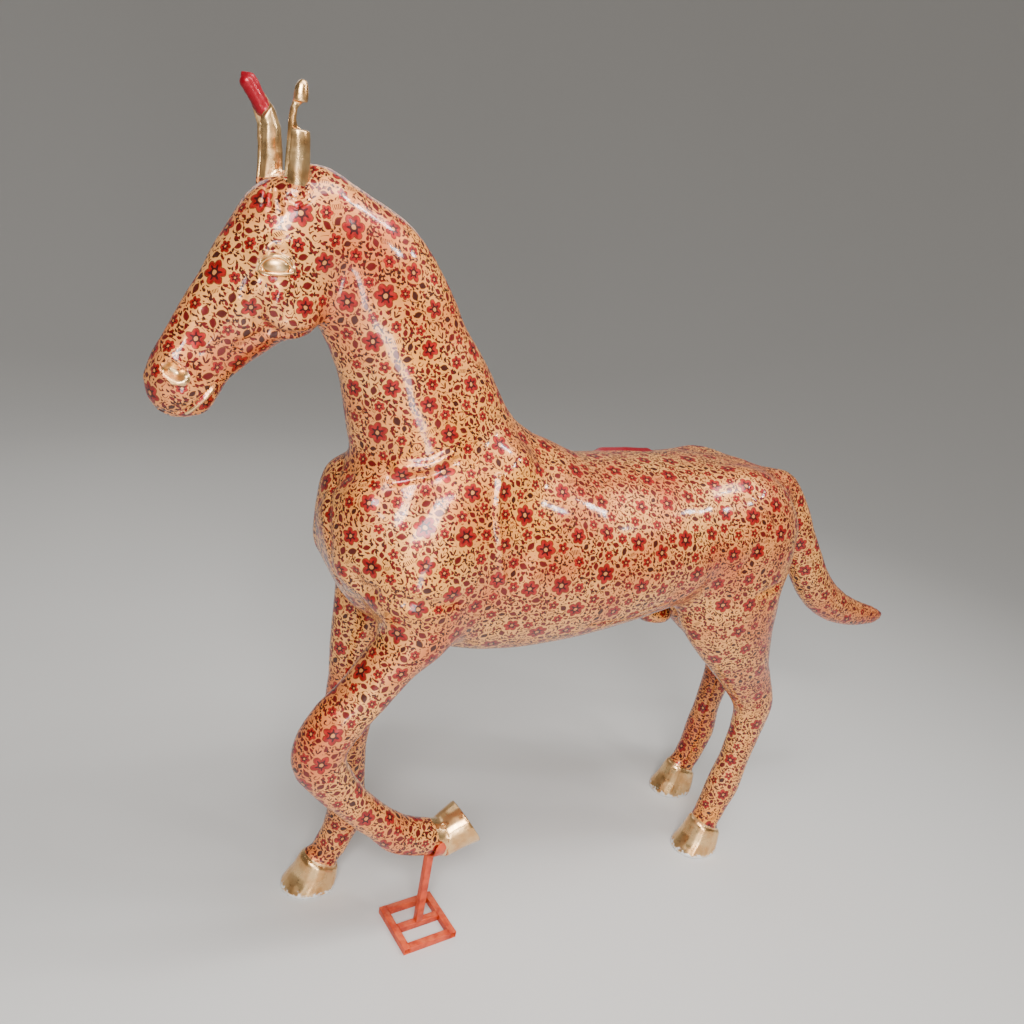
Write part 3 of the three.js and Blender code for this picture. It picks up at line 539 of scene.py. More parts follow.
# %% Strokes of the face
FACE_STROKES = {
    "brow": (0.019, 0.008, [(-0.884, -0.094, 1.722), (-0.875, -0.091, 1.740), (-0.855, -0.094, 1.743)]),
    "lid_line": (
        0.006, -0.004,
        [(-0.896, -0.092, 1.706), (-0.884, -0.094, 1.724), (-0.866, -0.096, 1.731), (-0.838, -0.097, 1.717)],
    ),
    "tear_duct": (0.011, -0.005, [(-0.898, -0.087, 1.686), (-0.911, -0.080, 1.666), (-0.917, -0.076, 1.637)]),
    "cheek_ridge": (
        0.022, 0.005,
        [(-0.854, -0.097, 1.657), (-0.866, -0.084, 1.605), (-0.843, -0.085, 1.592), (-0.787, -0.080, 1.596)],
    ),
    "cheek_crease": (
        0.016, -0.007,
        [(-0.888, -0.080, 1.632), (-0.886, -0.074, 1.594), (-0.858, -0.074, 1.572), (-0.812, -0.076, 1.568)],
    ),
    "face_crest": (0.016, 0.004, [(-0.894, -0.088, 1.660), (-0.948, -0.062, 1.576), (-0.975, -0.054, 1.534)]),
    "nose_bone": (0.014, 0.003, [(-0.989, -0.042, 1.596), (-1.002, -0.041, 1.567), (-1.015, -0.045, 1.529)]),
    "jaw_groove": (
        0.018, -0.005, [(-0.912, -0.058, 1.540), (-0.886, -0.062, 1.557), (-0.861, -0.072, 1.572)],
    ),
    "nostril_hollow": (0.0205, -0.014, [(-1.034, -0.054, 1.483), (-1.023, -0.057, 1.478)]),
    "nostril_floor": (
        0.011, 0.006, [(-1.044, -0.051, 1.472), (-1.031, -0.055, 1.460), (-1.010, -0.058, 1.463)],
    ),
    "mouth_line": (
        0.006, -0.006,
        [(-0.955, -0.044, 1.453), (-0.991, -0.042, 1.414), (-1.003, -0.035, 1.401), (-1.044, -0.018, 1.395)],
    ),
    "lower_lip": (
        0.007, 0.004, [(-0.951, -0.044, 1.446), (-0.984, -0.042, 1.409), (-0.998, -0.034, 1.394)],
    ),
    "front_wrinkle": (0.008, -0.005, [(-0.879, -0.031, 1.832), (-0.888, -0.054, 1.800)]),
    "middle_wrinkle": (0.008, -0.005, [(-0.873, -0.044, 1.827), (-0.877, -0.066, 1.793)]),
    "rear_wrinkle": (0.008, -0.005, [(-0.865, -0.049, 1.829), (-0.860, -0.076, 1.795)]),
    "upper_chevron": (
        0.006, -0.004, [(-0.845, -0.067, 1.823), (-0.832, -0.075, 1.817), (-0.815, -0.069, 1.833)],
    ),
    "lower_chevron": (
        0.006, -0.004, [(-0.846, -0.071, 1.814), (-0.831, -0.080, 1.807), (-0.812, -0.076, 1.822)],
    ),
}

press(skin, FACE_STROKES)

# %% [markdown]
# ## Room for the hooves and the eyes
#
# Hooves and eyes are joined to the skin as solids of their own. So the skin shrinks under them: inside
# a hoof from the coronet down, and in a shallow socket at each eye.

# %% Tucking the skin in
TUCK_DEPTH = 0.007
TUCK_RUN = 0.009
EYE_MIDDLE = (-0.864, -0.0925, 1.6895)
EYE_TURN = math.radians(14.0)
EYE_TILT = math.radians(5.0)
EYE_LENGTH = 0.031
EYE_SOCKET = 0.008
EYE_RISE = 0.009
SOCKET_END = 1.25
SOCKET_SLOPE = 0.5
FAR_OFF = 10.0


def eye_axes(side):
    """The eye's own directions: to its rear corner, up, and out of the head."""
    turn = EYE_TURN * -side
    outwards = np.array([math.sin(turn) * side, -math.cos(turn) * side, 0.0])
    rearwards = np.array([math.cos(turn), math.sin(turn), 0.0])
    upwards = np.array([0.0, 0.0, 1.0])
    along = rearwards * math.cos(EYE_TILT) + upwards * math.sin(EYE_TILT)
    across = upwards * math.cos(EYE_TILT) - rearwards * math.sin(EYE_TILT)
    return np.array([along, across, outwards])


def in_eye(points, side):
    """Points in the measures of one eye: along it, up and outwards."""
    return (points - path_on(side, [EYE_MIDDLE])[0]) @ eye_axes(side).T


points = points_of(skin)
inwards = np.zeros(len(points))
for name in HOOVES:
    inwards = np.maximum(inwards, TUCK_DEPTH * ease(below_coronet(points, name) / TUCK_RUN))
for side in (NEAR, FAR):
    along, across, outwards = in_eye(points, side).T
    across = (across - EYE_RISE) / (EYE_LENGTH / 2)
    reach = np.hypot(along / EYE_LENGTH, across) + FAR_OFF * (abs(outwards) > EYE_LENGTH)
    inwards = np.maximum(inwards, EYE_SOCKET * ease((SOCKET_END - reach) / SOCKET_SLOPE))
set_points(skin, points - normals_of(skin) * inwards[:, None])
print("tucked in:", int((inwards > 0).sum()), "points")

# %% [markdown]
# ## Eyes
#
# A gilded ball lies in each socket between two rolled lids that meet in pointed corners. The lids are a
# ring drawn out to the shape of an almond: higher above than below, and bowed outwards over the ball.

# %% Eyes
BALL_HALF_SIZES = np.array([0.0265, 0.0185, 0.0150])
BALL_SINK = 0.0040
BALL_RAISE = 0.0095
LID_ABOVE = 0.0275
LID_BELOW = 0.0045
UPPER_LID_TUBE = 0.0034
LOWER_LID_TUBE = 0.0042
LID_CORNER_TUBE = 0.0014
LID_BOW = 0.0062
LID_POINTEDNESS = 1.25
RING_TUBE = 0.25


def set_in_eye(piece, points, side):
    """Puts a piece that is shaped about the origin into one eye, with its faces outwards."""
    set_points(piece, points @ eye_axes(side) + path_on(side, [EYE_MIDDLE])[0])
    with all_selected(piece):
        bpy.ops.mesh.normals_make_consistent(inside=False)
    return piece


def eyeball(side):
    bpy.ops.mesh.primitive_uv_sphere_add(segments=48, ring_count=24, radius=1.0)
    piece = bpy.context.active_object
    points = points_of(piece) * BALL_HALF_SIZES
    points += np.array([0.0, BALL_RAISE, -BALL_SINK])
    return set_in_eye(piece, points, side)


def lids(side):
    bpy.ops.mesh.primitive_torus_add(
        major_segments=80, minor_segments=14, major_radius=1.0, minor_radius=RING_TUBE
    )
    piece = bpy.context.active_object
    ring = points_of(piece)
    around = np.arctan2(ring[:, 1], ring[:, 0])
    away = (np.hypot(ring[:, 0], ring[:, 1]) - 1.0) / RING_TUBE
    above = ring[:, 2] / RING_TUBE
    opening = np.abs(np.sin(around))
    height = np.where(np.sin(around) > 0, LID_ABOVE, LID_BELOW)
    thickest = np.where(np.sin(around) > 0, UPPER_LID_TUBE, LOWER_LID_TUBE)
    tube = LID_CORNER_TUBE + (thickest - LID_CORNER_TUBE) * opening
    points = np.empty_like(ring)
    points[:, 0] = np.cos(around) * (EYE_LENGTH + away * tube)
    points[:, 1] = np.sign(np.sin(around)) * (height * opening ** LID_POINTEDNESS + away * tube * opening)
    points[:, 2] = LID_BOW * opening ** 2 + above * tube
    return set_in_eye(piece, points, side)


eyes = [make(side) for side in (NEAR, FAR) for make in (eyeball, lids)]
print("eyes:", sum(len(piece.data.vertices) for piece in eyes), "points")

# %% [markdown]
# ## One figure
#
# The real figure has one unbroken skin, so hooves, ears and eyes are joined into the body. Where two
# forms meet at a sharp angle the shading keeps the edge, and everywhere else it runs smoothly.

# %% Join the figure
FIGURE_EDGE = math.radians(48.0)
TRIANGLE_LIMIT = 200_000


def triangles_in(piece):
    return int((read(piece.data.polygons, "loop_total", kind=np.int32) - 2).sum())


def store(piece, name, values):
    """Keeps one number for each point of a piece."""
    attribute = piece.data.attributes.new(name, "FLOAT", "POINT")
    attribute.data.foreach_set("value", np.asarray(values, np.float32))


def stored(piece, name):
    return read(piece.data.attributes[name].data, "value", kind=np.float32)


for part in [skin] + hooves + ears + eyes:
    store(part, "ear", np.full(len(part.data.vertices), float(part in ears)))
    store(part, "eye", np.full(len(part.data.vertices), float(part in eyes)))
for part in hooves + ears + eyes:
    combine(skin, part, "UNION")
horse = skin
for layer in list(horse.data.uv_layers):
    horse.data.uv_layers.remove(layer)
only(horse)
bpy.ops.object.shade_smooth_by_angle(angle=FIGURE_EDGE)
print("figure:", triangles_in(horse), "triangles of", TRIANGLE_LIMIT, "allowed")
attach(horse, "root")
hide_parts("horse")

# %% [markdown]
# ## The stand
#
# The stand is cut from one length of square tube and welded, so its corners are rolled, not sharp. Each
# solid is copied, its flat faces are freed of spare edges, and its corners are rounded by a small bevel.

# %% The stand
TUBE_CORNER = 0.0016
TUBE_CORNER_STEPS = 3
TUBE_EDGE = math.radians(30.0)
FLAT = math.radians(1.0)
STAND_NODES = [
    "foot_bar_front", "foot_bar_rear", "foot_bar_left", "foot_bar_middle", "foot_bar_right", "post", "saddle"
]


def steel_piece(node):
    """A stand's tube or cradle with rolled corners, in place of its solid."""
    piece = merged_copy(node, node + "_steel")
    with all_selected(piece):
        bpy.ops.mesh.dissolve_limited(angle_limit=FLAT)
    corners = piece.modifiers.new("rolled corners", "BEVEL")
    corners.width = TUBE_CORNER
    corners.segments = TUBE_CORNER_STEPS
    corners.limit_method = "ANGLE"
    corners.angle_limit = TUBE_EDGE
    corners.use_clamp_overlap = True
    apply_modifiers(piece)
    bpy.ops.object.shade_smooth_by_angle(angle=TUBE_EDGE)
    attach(piece, "root")
    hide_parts(node)
    return piece


stand = [steel_piece(node) for node in STAND_NODES]
print("stand:", [triangles_in(piece) for piece in stand], "triangles")

# %% [markdown]
# ## Lacquer
#
# Layered paper under many coats is never quite even, and that is what breaks a long highlight into
# patches. The unevenness is worked into the net itself, as a slow wave of a millimetre or so and a
# shorter one of half that.

# %% Uneven lacquer
WAVES = ((0.085, 0.0012), (0.032, 0.0005))
WAVE_SHIFT = Vector((3.1, 7.7, 1.3))


def uneven(piece):
    points = points_of(piece)
    lift = np.zeros(len(points))
    for length, height in WAVES:
        lift += [height * noise.noise(Vector(point) / length + WAVE_SHIFT) for point in points]
    points += normals_of(piece) * lift[:, None]
    points[:, 2] = np.maximum(points[:, 2], 0.0)
    set_points(piece, points)
    return float(np.abs(lift).max())


print("lacquer lifts the skin by up to", round(uneven(horse) * 1000, 2), "mm")

# %% [markdown]
# ## Where the gold goes
#
# Gold leaf covers the hooves, ears, eyes, nostrils and the line of the lips. Each point of the figure
# stores how far it lies inside the gilded ground, so the material can draw a clean but lively edge that
# doesn't depend on the net. The red of the far ear and of a strip on the back is stored in the same way.

# %% Gilded and red grounds
GILDING_REACH = 0.030
EAR_ROOT = 0.014
EYE_MARGIN = 0.0048
NOSTRIL_RADIUS = 0.0150
NOSTRIL_PATH = [(-1.034, -0.053, 1.482), (-1.024, -0.056, 1.470), (-1.014, -0.057, 1.469)]
LIP_RADIUS = 0.0038
RAISED_FADE = 0.024
STANDING_FADE = 0.006
TONGUE_MARGIN = 0.0012
RED_TIP = 1.990


def gilding_of(points, ear):
    depth = (2.0 * ear - 1.0) * GILDING_REACH
    depth = np.minimum(depth, points[:, 2] - (LEFT_EAR_LOW.z - EAR_ROOT))
    for name in HOOVES:
        extra = RAISED_FADE if name == "left_fore" else STANDING_FADE
        near = below_coronet(points, name)
        depth = np.where(near > -1.0, np.maximum(depth, near + extra), depth)
    for side in (NEAR, FAR):
        along, across, outwards = in_eye(points, side).T
        half_height = np.where(across > 0, LID_ABOVE, LID_BELOW) + EYE_MARGIN
        reach = np.hypot(along / (EYE_LENGTH + EYE_MARGIN), across / half_height)
        reach = np.where(abs(outwards) < EYE_LENGTH, reach, FAR_OFF)
        depth = np.maximum(depth, (1.0 - reach) * LID_ABOVE)
        depth = np.maximum(depth, NOSTRIL_RADIUS - distance_to_path(points, path_on(side, NOSTRIL_PATH)))
        lip = FACE_STROKES["lower_lip"][2]
        depth = np.maximum(depth, LIP_RADIUS - distance_to_path(points, path_on(side, lip)))
    return np.clip(depth, -GILDING_REACH, GILDING_REACH)


def redness_of(points, ear):
    tongue = [np.array(TONGUE_LOW), np.array(TONGUE_HIGH)]
    depth = TONGUE_RADIUS + TONGUE_MARGIN - distance_to_path(points, tongue)
    tip = np.where((ear > 0.5) & (points[:, 1] > figure_middle.y), points[:, 2] - RED_TIP, -GILDING_REACH)
    depth = np.maximum(depth, tip)
    strip = BACK_STRIP_RADIUS - to_back_strip(points)
    return np.clip(np.maximum(depth, strip), -GILDING_REACH, GILDING_REACH)


points = points_of(horse)
gilding = gilding_of(points, stored(horse, "ear"))
store(horse, "gilding", gilding)
store(horse, "redness", redness_of(points, stored(horse, "ear")))
print("gilded:", int((gilding > 0).sum()), "of", len(points), "points")

# %% [markdown]
# ## Where the flowers lie
#
# The print is a common one: large and small flowers scattered over a cream ground, with leaves, sprigs
# and curls between them. A flat picture can't wrap a horse without seams, so each motif gets a small
# flat tile of its own, laid on the skin at its middle. Middles are picked in a random order so that
# they keep their distance, first the large flowers, then the small ones, then the leaves.

# %% Scatter the motifs
PRINT_SEED = 5
SAMPLES = 70_000
LARGE_SPACING = 0.076
SMALL_SPACING = 0.050
SMALL_FROM_LARGE = 0.041
LEAF_SPACING = 0.0225
LEAF_FROM_LARGE = 0.032
LEAF_FROM_SMALL = 0.0225
chance = np.random.default_rng(PRINT_SEED)


def steady_order(piece, corners):
    """Sorts the eyes' triangles by place, because the join leaves their order to chance."""
    eye_ones = np.flatnonzero(stored(piece, "eye")[corners].max(axis=1) > 0.5)
    middles = points_of(piece)[corners[eye_ones]].mean(axis=1)
    ordered = corners[eye_ones[np.lexsort(middles.T)]]
    along = points_of(piece)[ordered][:, :, 0].argsort(axis=1)
    corners[eye_ones] = np.take_along_axis(ordered, along, axis=1)
    return corners


def sample_skin(piece, count):
    """Random places on a piece, evenly by area, and the normals there."""
    mesh = piece.data
    mesh.calc_loop_triangles()
    corners = steady_order(piece, read(mesh.loop_triangles, "vertices", 3, np.int32))
    a, b, c = (points_of(piece)[corners[:, i]] for i in range(3))
    area = np.linalg.norm(np.cross(b - a, c - a), axis=1)
    chosen = chance.choice(len(corners), count, p=area / area.sum())
    u, v = chance.random((2, count))
    u, v = np.where(u + v > 1, 1 - u, u), np.where(u + v > 1, 1 - v, v)
    places = a[chosen] + (b - a)[chosen] * u[:, None] + (c - a)[chosen] * v[:, None]
    return places, normals_of(piece)[corners[chosen, 0]]


def block(tree, taken, places, distance):
    for middle in places:
        for _, index, _ in tree.find_range(middle, distance):
            taken[index] = True


def scatter(tree, places, taken, spacing):
    """Picks free places one by one; each takes the places round it."""
    picked = []
    for index in range(len(places)):
        if not taken[index]:
            picked.append(index)
            block(tree, taken, [places[index]], spacing)
    return picked


skin_places, skin_normals = sample_skin(horse, SAMPLES)
place_tree = kdtree.KDTree(SAMPLES)
for index, middle in enumerate(skin_places):
    place_tree.insert(middle, index)
place_tree.balance()
large = scatter(place_tree, skin_places, np.zeros(SAMPLES, bool), LARGE_SPACING)
taken = np.zeros(SAMPLES, bool)
block(place_tree, taken, skin_places[large], SMALL_FROM_LARGE)
small = scatter(place_tree, skin_places, taken, SMALL_SPACING)
taken = np.zeros(SAMPLES, bool)
block(place_tree, taken, skin_places[large], LEAF_FROM_LARGE)
block(place_tree, taken, skin_places[small], LEAF_FROM_SMALL)
leaves = scatter(place_tree, skin_places, taken, LEAF_SPACING)
print("motifs:", len(large), "large flowers,", len(small), "small flowers,", len(leaves), "leaves")

# %% [markdown]
# ## One flat tile for each motif
#
# Each face belongs to the nearest middle that faces the same way. A UV map then holds, for each corner,
# the tile's whole number and the corner's offset from the middle, rolled out flat.

# %% Tiles as UV maps
TILE = 0.25
FACING_WEIGHT = 0.05
TILE_EDGE = 0.49
MOST_ROLLED_OUT = 1.6
LEAST_OFFSET = 1e-6
FIRST_ACROSS = (0.0, 0.6, 0.8)
CHUNK = 4000


def nearest_motif(centres, facing, middles, normals):
    """For each face the number of its nearest motif, where facing away counts as far off."""
    motif = np.hstack([middles, normals * FACING_WEIGHT]).astype(np.float32)
    face = np.hstack([centres, facing * FACING_WEIGHT]).astype(np.float32)
    size = (motif ** 2).sum(axis=1) / 2
    parts = [np.argmin(size - face[i:i + CHUNK] @ motif.T, axis=1) for i in range(0, len(face), CHUNK)]
    return np.concatenate(parts)


def lay_tiles(piece, layer, picked):
    mesh = piece.data
    middles = skin_places[picked]
    normals = skin_normals[picked]
    motif = nearest_motif(face_centres(piece), read(mesh.polygons, "normal", 3), middles, normals)
    motif = np.repeat(motif, read(mesh.polygons, "loop_total", kind=np.int32))
    corners = read(mesh.loops, "vertex_index", kind=np.int32)
    first = np.cross(normals, FIRST_ACROSS)
    first /= np.linalg.norm(first, axis=1)[:, None]
    second = np.cross(normals, first)
    offset = points_of(piece)[corners] - middles[motif]
    flat = np.stack([(offset * first[motif]).sum(axis=1), (offset * second[motif]).sum(axis=1)], axis=1)
    rolled_out = np.linalg.norm(offset, axis=1) / np.maximum(np.linalg.norm(flat, axis=1), LEAST_OFFSET)
    flat *= np.minimum(rolled_out, MOST_ROLLED_OUT)[:, None]
    columns = math.ceil(math.sqrt(len(picked)))
    number = np.stack([motif % columns, motif // columns], axis=1)
    tiles = mesh.uv_layers.new(name=layer)
    values = number + 0.5 + np.clip(flat / TILE, -TILE_EDGE, TILE_EDGE)
    tiles.data.foreach_set("uv", values.astype(np.float32).ravel())


for layer, picked in (("large_flowers", large), ("small_flowers", small), ("leaves", leaves)):
    lay_tiles(horse, layer, picked)
print("UV maps:", [layer.name for layer in horse.data.uv_layers])

# %% [markdown]
# ## Helpers for materials
#
# A material is a sum of small nodes. These helpers add one node each and give back its output, so the
# steps below read like formulas. Effects that are used again become node groups with named sockets.

# %% Node helpers
SOCKET_KINDS = {"value": "NodeSocketFloat", "vector": "NodeSocketVector"}


class Nodes:
    """Adds nodes to one tree; each method gives back a socket."""

    def __init__(self, tree):
        self.tree = tree

    def add(self, kind, **settings):
        node = self.tree.nodes.new(kind)
        for name, value in settings.items():
            setattr(node, name, value)
        return node

    def feed(self, socket, value):
        if isinstance(value, bpy.types.NodeSocket):
            self.tree.links.new(value, socket)
        else:
            socket.default_value = value

    def feed_all(self, sockets, **values):
        for name, value in values.items():
            self.feed(sockets[name], value)

    def math(self, operation, *values, clamp=False):
        node = self.add("ShaderNodeMath", operation=operation, use_clamp=clamp)
        for socket, value in zip(node.inputs, values):
            self.feed(socket, value)
        return node.outputs[0]

    def plus(self, first, second):
        return self.math("ADD", first, second)

    def minus(self, first, second, clamp=False):
        return self.math("SUBTRACT", first, second, clamp=clamp)

    def times(self, first, second):
        return self.math("MULTIPLY", first, second)

    def over(self, first, second):
        return self.math("DIVIDE", first, second)

    def larger(self, first, second):
        return self.math("MAXIMUM", first, second)

    def is_under(self, value, limit):
        return self.math("LESS_THAN", value, limit)

    def is_over(self, value, limit):
        return self.math("GREATER_THAN", value, limit)

    def size(self, value):
        return self.math("ABSOLUTE", value)

    def vector(self, operation, *values):
        node = self.add("ShaderNodeVectorMath", operation=operation)
        for socket, value in zip(node.inputs, values):
            self.feed(socket, value)
        return node.outputs["Value" if operation in ("DOT_PRODUCT", "LENGTH") else "Vector"]

    def scale(self, vector, factor):
        node = self.add("ShaderNodeVectorMath", operation="SCALE")
        self.feed(node.inputs[0], vector)
        self.feed(node.inputs["Scale"], factor)
        return node.outputs["Vector"]

    def split(self, vector):
        node = self.add("ShaderNodeSeparateXYZ")
        self.feed(node.inputs[0], vector)
        return node.outputs

    def ramp(self, value, start, end, low=0.0, high=1.0):
        """Runs smoothly from low to high while the value goes from start to end."""
        node = self.add("ShaderNodeMapRange", interpolation_type="SMOOTHSTEP")
        for name, number in zip(("Value", "From Min", "From Max", "To Min", "To Max"),
                                (value, start, end, low, high)):
            self.feed(node.inputs[name], number)
        return node.outputs["Result"]

    def mix(self, share, first, second):
        node = self.add("ShaderNodeMix", data_type="RGBA")
        self.feed(node.inputs[0], share)
        self.feed(node.inputs[6], first)
        self.feed(node.inputs[7], second)
        return node.outputs[2]

    def noise(self, vector, scale, detail=2.0):
        node = self.add("ShaderNodeTexNoise")
        self.feed_all(node.inputs, Vector=vector, Scale=scale, Detail=detail)
        return node.outputs["Fac"]

    def use(self, tree, **given):
        """Places a node group and gives back its outputs."""
        node = self.add("ShaderNodeGroup", node_tree=tree)
        self.feed_all(node.inputs, **given)
        return node.outputs


def group(name, inputs, outputs):
    """An empty node group with its sockets, and the means to fill it."""
    tree = bpy.data.node_groups.new(name, "ShaderNodeTree")
    for label, kind in inputs.items():
        tree.interface.new_socket(name=label, in_out="INPUT", socket_type=SOCKET_KINDS[kind])
    for label, kind in outputs.items():
        tree.interface.new_socket(name=label, in_out="OUTPUT", socket_type=SOCKET_KINDS[kind])
    build = Nodes(tree)
    given = build.add("NodeGroupInput").outputs
    result = build.add("NodeGroupOutput").inputs
    return tree, build, given, result


def linear(red, green, blue):
    """A colour as seen on a screen, from 0 to 255, in the linear values that a shader takes."""
    shares = (value / 255.0 for value in (red, green, blue))
    return (*(s / 12.92 if s <= 0.04045 else ((s + 0.055) / 1.055) ** 2.4 for s in shares), 1.0)


# %% [markdown]
# ## Motif place
#
# From a tile's UV this group works out the millimetres from the motif's middle, turned by a random
# angle, and three random numbers that are the same all over one motif.

# %% Motif place
TILE_MIDDLE = (0.5, 0.5, 0.0)


def motif_place_group():
    tree, build, given, result = group(
        "motif place", {"Tiles": "vector", "Wobble": "vector"}, {"Place": "vector", "Random": "vector"}
    )
    number = build.vector("FLOOR", given["Tiles"])
    offset = build.vector("SUBTRACT", build.vector("FRACTION", given["Tiles"]), TILE_MIDDLE)
    random = build.add("ShaderNodeTexWhiteNoise", noise_dimensions="3D")
    build.feed(random.inputs["Vector"], number)
    turned = build.add("ShaderNodeVectorRotate", rotation_type="Z_AXIS")
    angle = build.times(random.outputs["Value"], math.tau)
    build.feed_all(turned.inputs, Vector=build.scale(offset, TILE * 1000.0), Angle=angle)
    moved = build.vector("ADD", turned.outputs["Vector"], given["Wobble"])
    build.feed_all(result, Place=moved, Random=random.outputs["Color"])
    return tree


def oval(build, x, y, half_length, half_width):
    """How far a place lies from the middle of an oval: 1 on its edge."""
    along = build.math("POWER", build.over(x, half_length), 2.0)
    aside = build.math("POWER", build.over(y, half_width), 2.0)
    return build.math("SQRT", build.plus(along, aside))


motif_place = motif_place_group()

# %% [markdown]
# ## Printed flower
#
# Five or six separate oval petals stand round a tan heart. Folding the angle into one petal's sector
# means that a single petal has to be drawn: its oval, a thin dark outline and a dark streak from the
# heart. The group gives a mask for each ink.

# %% Flower
SIX_PETAL_SHARE = 0.62
FLOWER_SIZES = (0.88, 1.12)
PETAL_MIDDLE = 0.62
PETAL_HALF_SIZES = (0.38, 0.32)
PETAL_EDGE = (1.02, 0.92)
STREAK_MIDDLE = 0.42
STREAK_HALF_SIZES = (0.26, 0.10)
STREAK_EDGE = (1.15, 0.75)
RING_OUTSIDE = (0.40, 0.34)
RING_INSIDE = (0.17, 0.21)
HEART_EDGE = (0.22, 0.17)
FLOWER_END = (1.22, 1.08)


def flower_group():
    masks = ("Petals", "Streaks", "Heart", "Outline", "Cover")
    tree, build, given, result = group(
        "printed flower", {"Place": "vector", "Random": "vector", "Radius": "value"},
        {name: "value" for name in masks},
    )
    x, y, _ = build.split(given["Place"])
    picks = build.split(given["Random"])
    radius = build.times(given["Radius"], build.ramp(picks[1], 0.0, 1.0, *FLOWER_SIZES))
    flat = build.vector("MULTIPLY", given["Place"], (1.0, 1.0, 0.0))
    far = build.over(build.vector("LENGTH", flat), radius)
    count = build.minus(6.0, build.is_over(picks[0], SIX_PETAL_SHARE))
    sector = build.over(math.tau, count)
    turns = build.over(build.math("ARCTAN2", y, x), sector)
    folded = build.times(build.minus(turns, build.math("ROUND", turns)), sector)
    along = build.times(far, build.math("COSINE", folded))
    aside = build.times(far, build.math("SINE", folded))
    petal = oval(build, build.minus(along, PETAL_MIDDLE), aside, *PETAL_HALF_SIZES)
    petals = build.ramp(petal, *PETAL_EDGE)
    streak = oval(build, build.minus(along, STREAK_MIDDLE), aside, *STREAK_HALF_SIZES)
    dark_ring = build.times(build.ramp(far, *RING_OUTSIDE), build.ramp(far, *RING_INSIDE))
    build.feed_all(
        result, Petals=petals,
        Streaks=build.larger(build.ramp(streak, *STREAK_EDGE), dark_ring),
        Heart=build.ramp(far, *HEART_EDGE),
        Outline=build.minus(build.ramp(petal, *FLOWER_END), petals, clamp=True),
        Cover=build.ramp(far, *FLOWER_END),
    )
    return tree


flower = flower_group()

# %% [markdown]
# ## Leaves, sprigs, curls and combs
#
# Between the flowers lie four kinds of small motif: a dark red or brown leaf with a thin outline, a sprig
# of two slim leaves, a curl, and a comb of short strokes. A random number from 0 to 1 picks the kind, and
# the three shares say where one kind ends and the next starts. Lengths are in millimetres.

# %% Leaf
LEAF_SHARE = 0.60
SPRIG_SHARE = 0.82
CURL_SHARE = 0.92
MOTIF_SHRINK = (1.22, 0.86)
LEAF_HALF_LENGTH = 9.0
LEAF_HALF_WIDTH = 5.2
LEAF_SIDE = (0.2, -0.3)
LEAF_OUTLINE = (1.6, 1.0)
LEAF_OUTLINE_END = 10.0
SPRIG_ANGLE = 0.55
SPRIG_HALF_SIZES = (6.2, 1.9)
SPRIG_UPPER_AT = (1.5, 3.2, 0.0)
SPRIG_LOWER_AT = (1.5, -3.2, 0.0)
SPRIG_STEM = (6.0, 0.7)
SPRIG_STEM_AT = (-4.5, 0.0, 0.0)
SPRIG_EDGE = (1.1, 0.85)
CURL_REACH = 4.9
CURL_GROWTH = 1.15
CURL_THICKNESS = (2.3, 0.7)
CURL_EDGE = (1.1, 0.8)
CURL_END = 2.2
COMB_STEP = 3.6
COMB_TOOTH = (0.27, 0.20)
COMB_SIDE = (5.0, 4.2)
COMB_END = (9.2, 8.8)
MOTIF_END = (11.5, 9.5)


def turned_oval(build, place, shift, angle, half_length, half_width):
    """An oval that is moved and turned in its motif."""
    turned = build.add("ShaderNodeVectorRotate", rotation_type="Z_AXIS")
    build.feed_all(turned.inputs, Vector=build.vector("SUBTRACT", place, shift), Angle=angle)
    x, y, _ = build.split(turned.outputs["Vector"])
    return oval(build, x, y, half_length, half_width)


def between(build, value, low, high):
    return build.times(build.is_over(value, low), build.is_under(value, high))


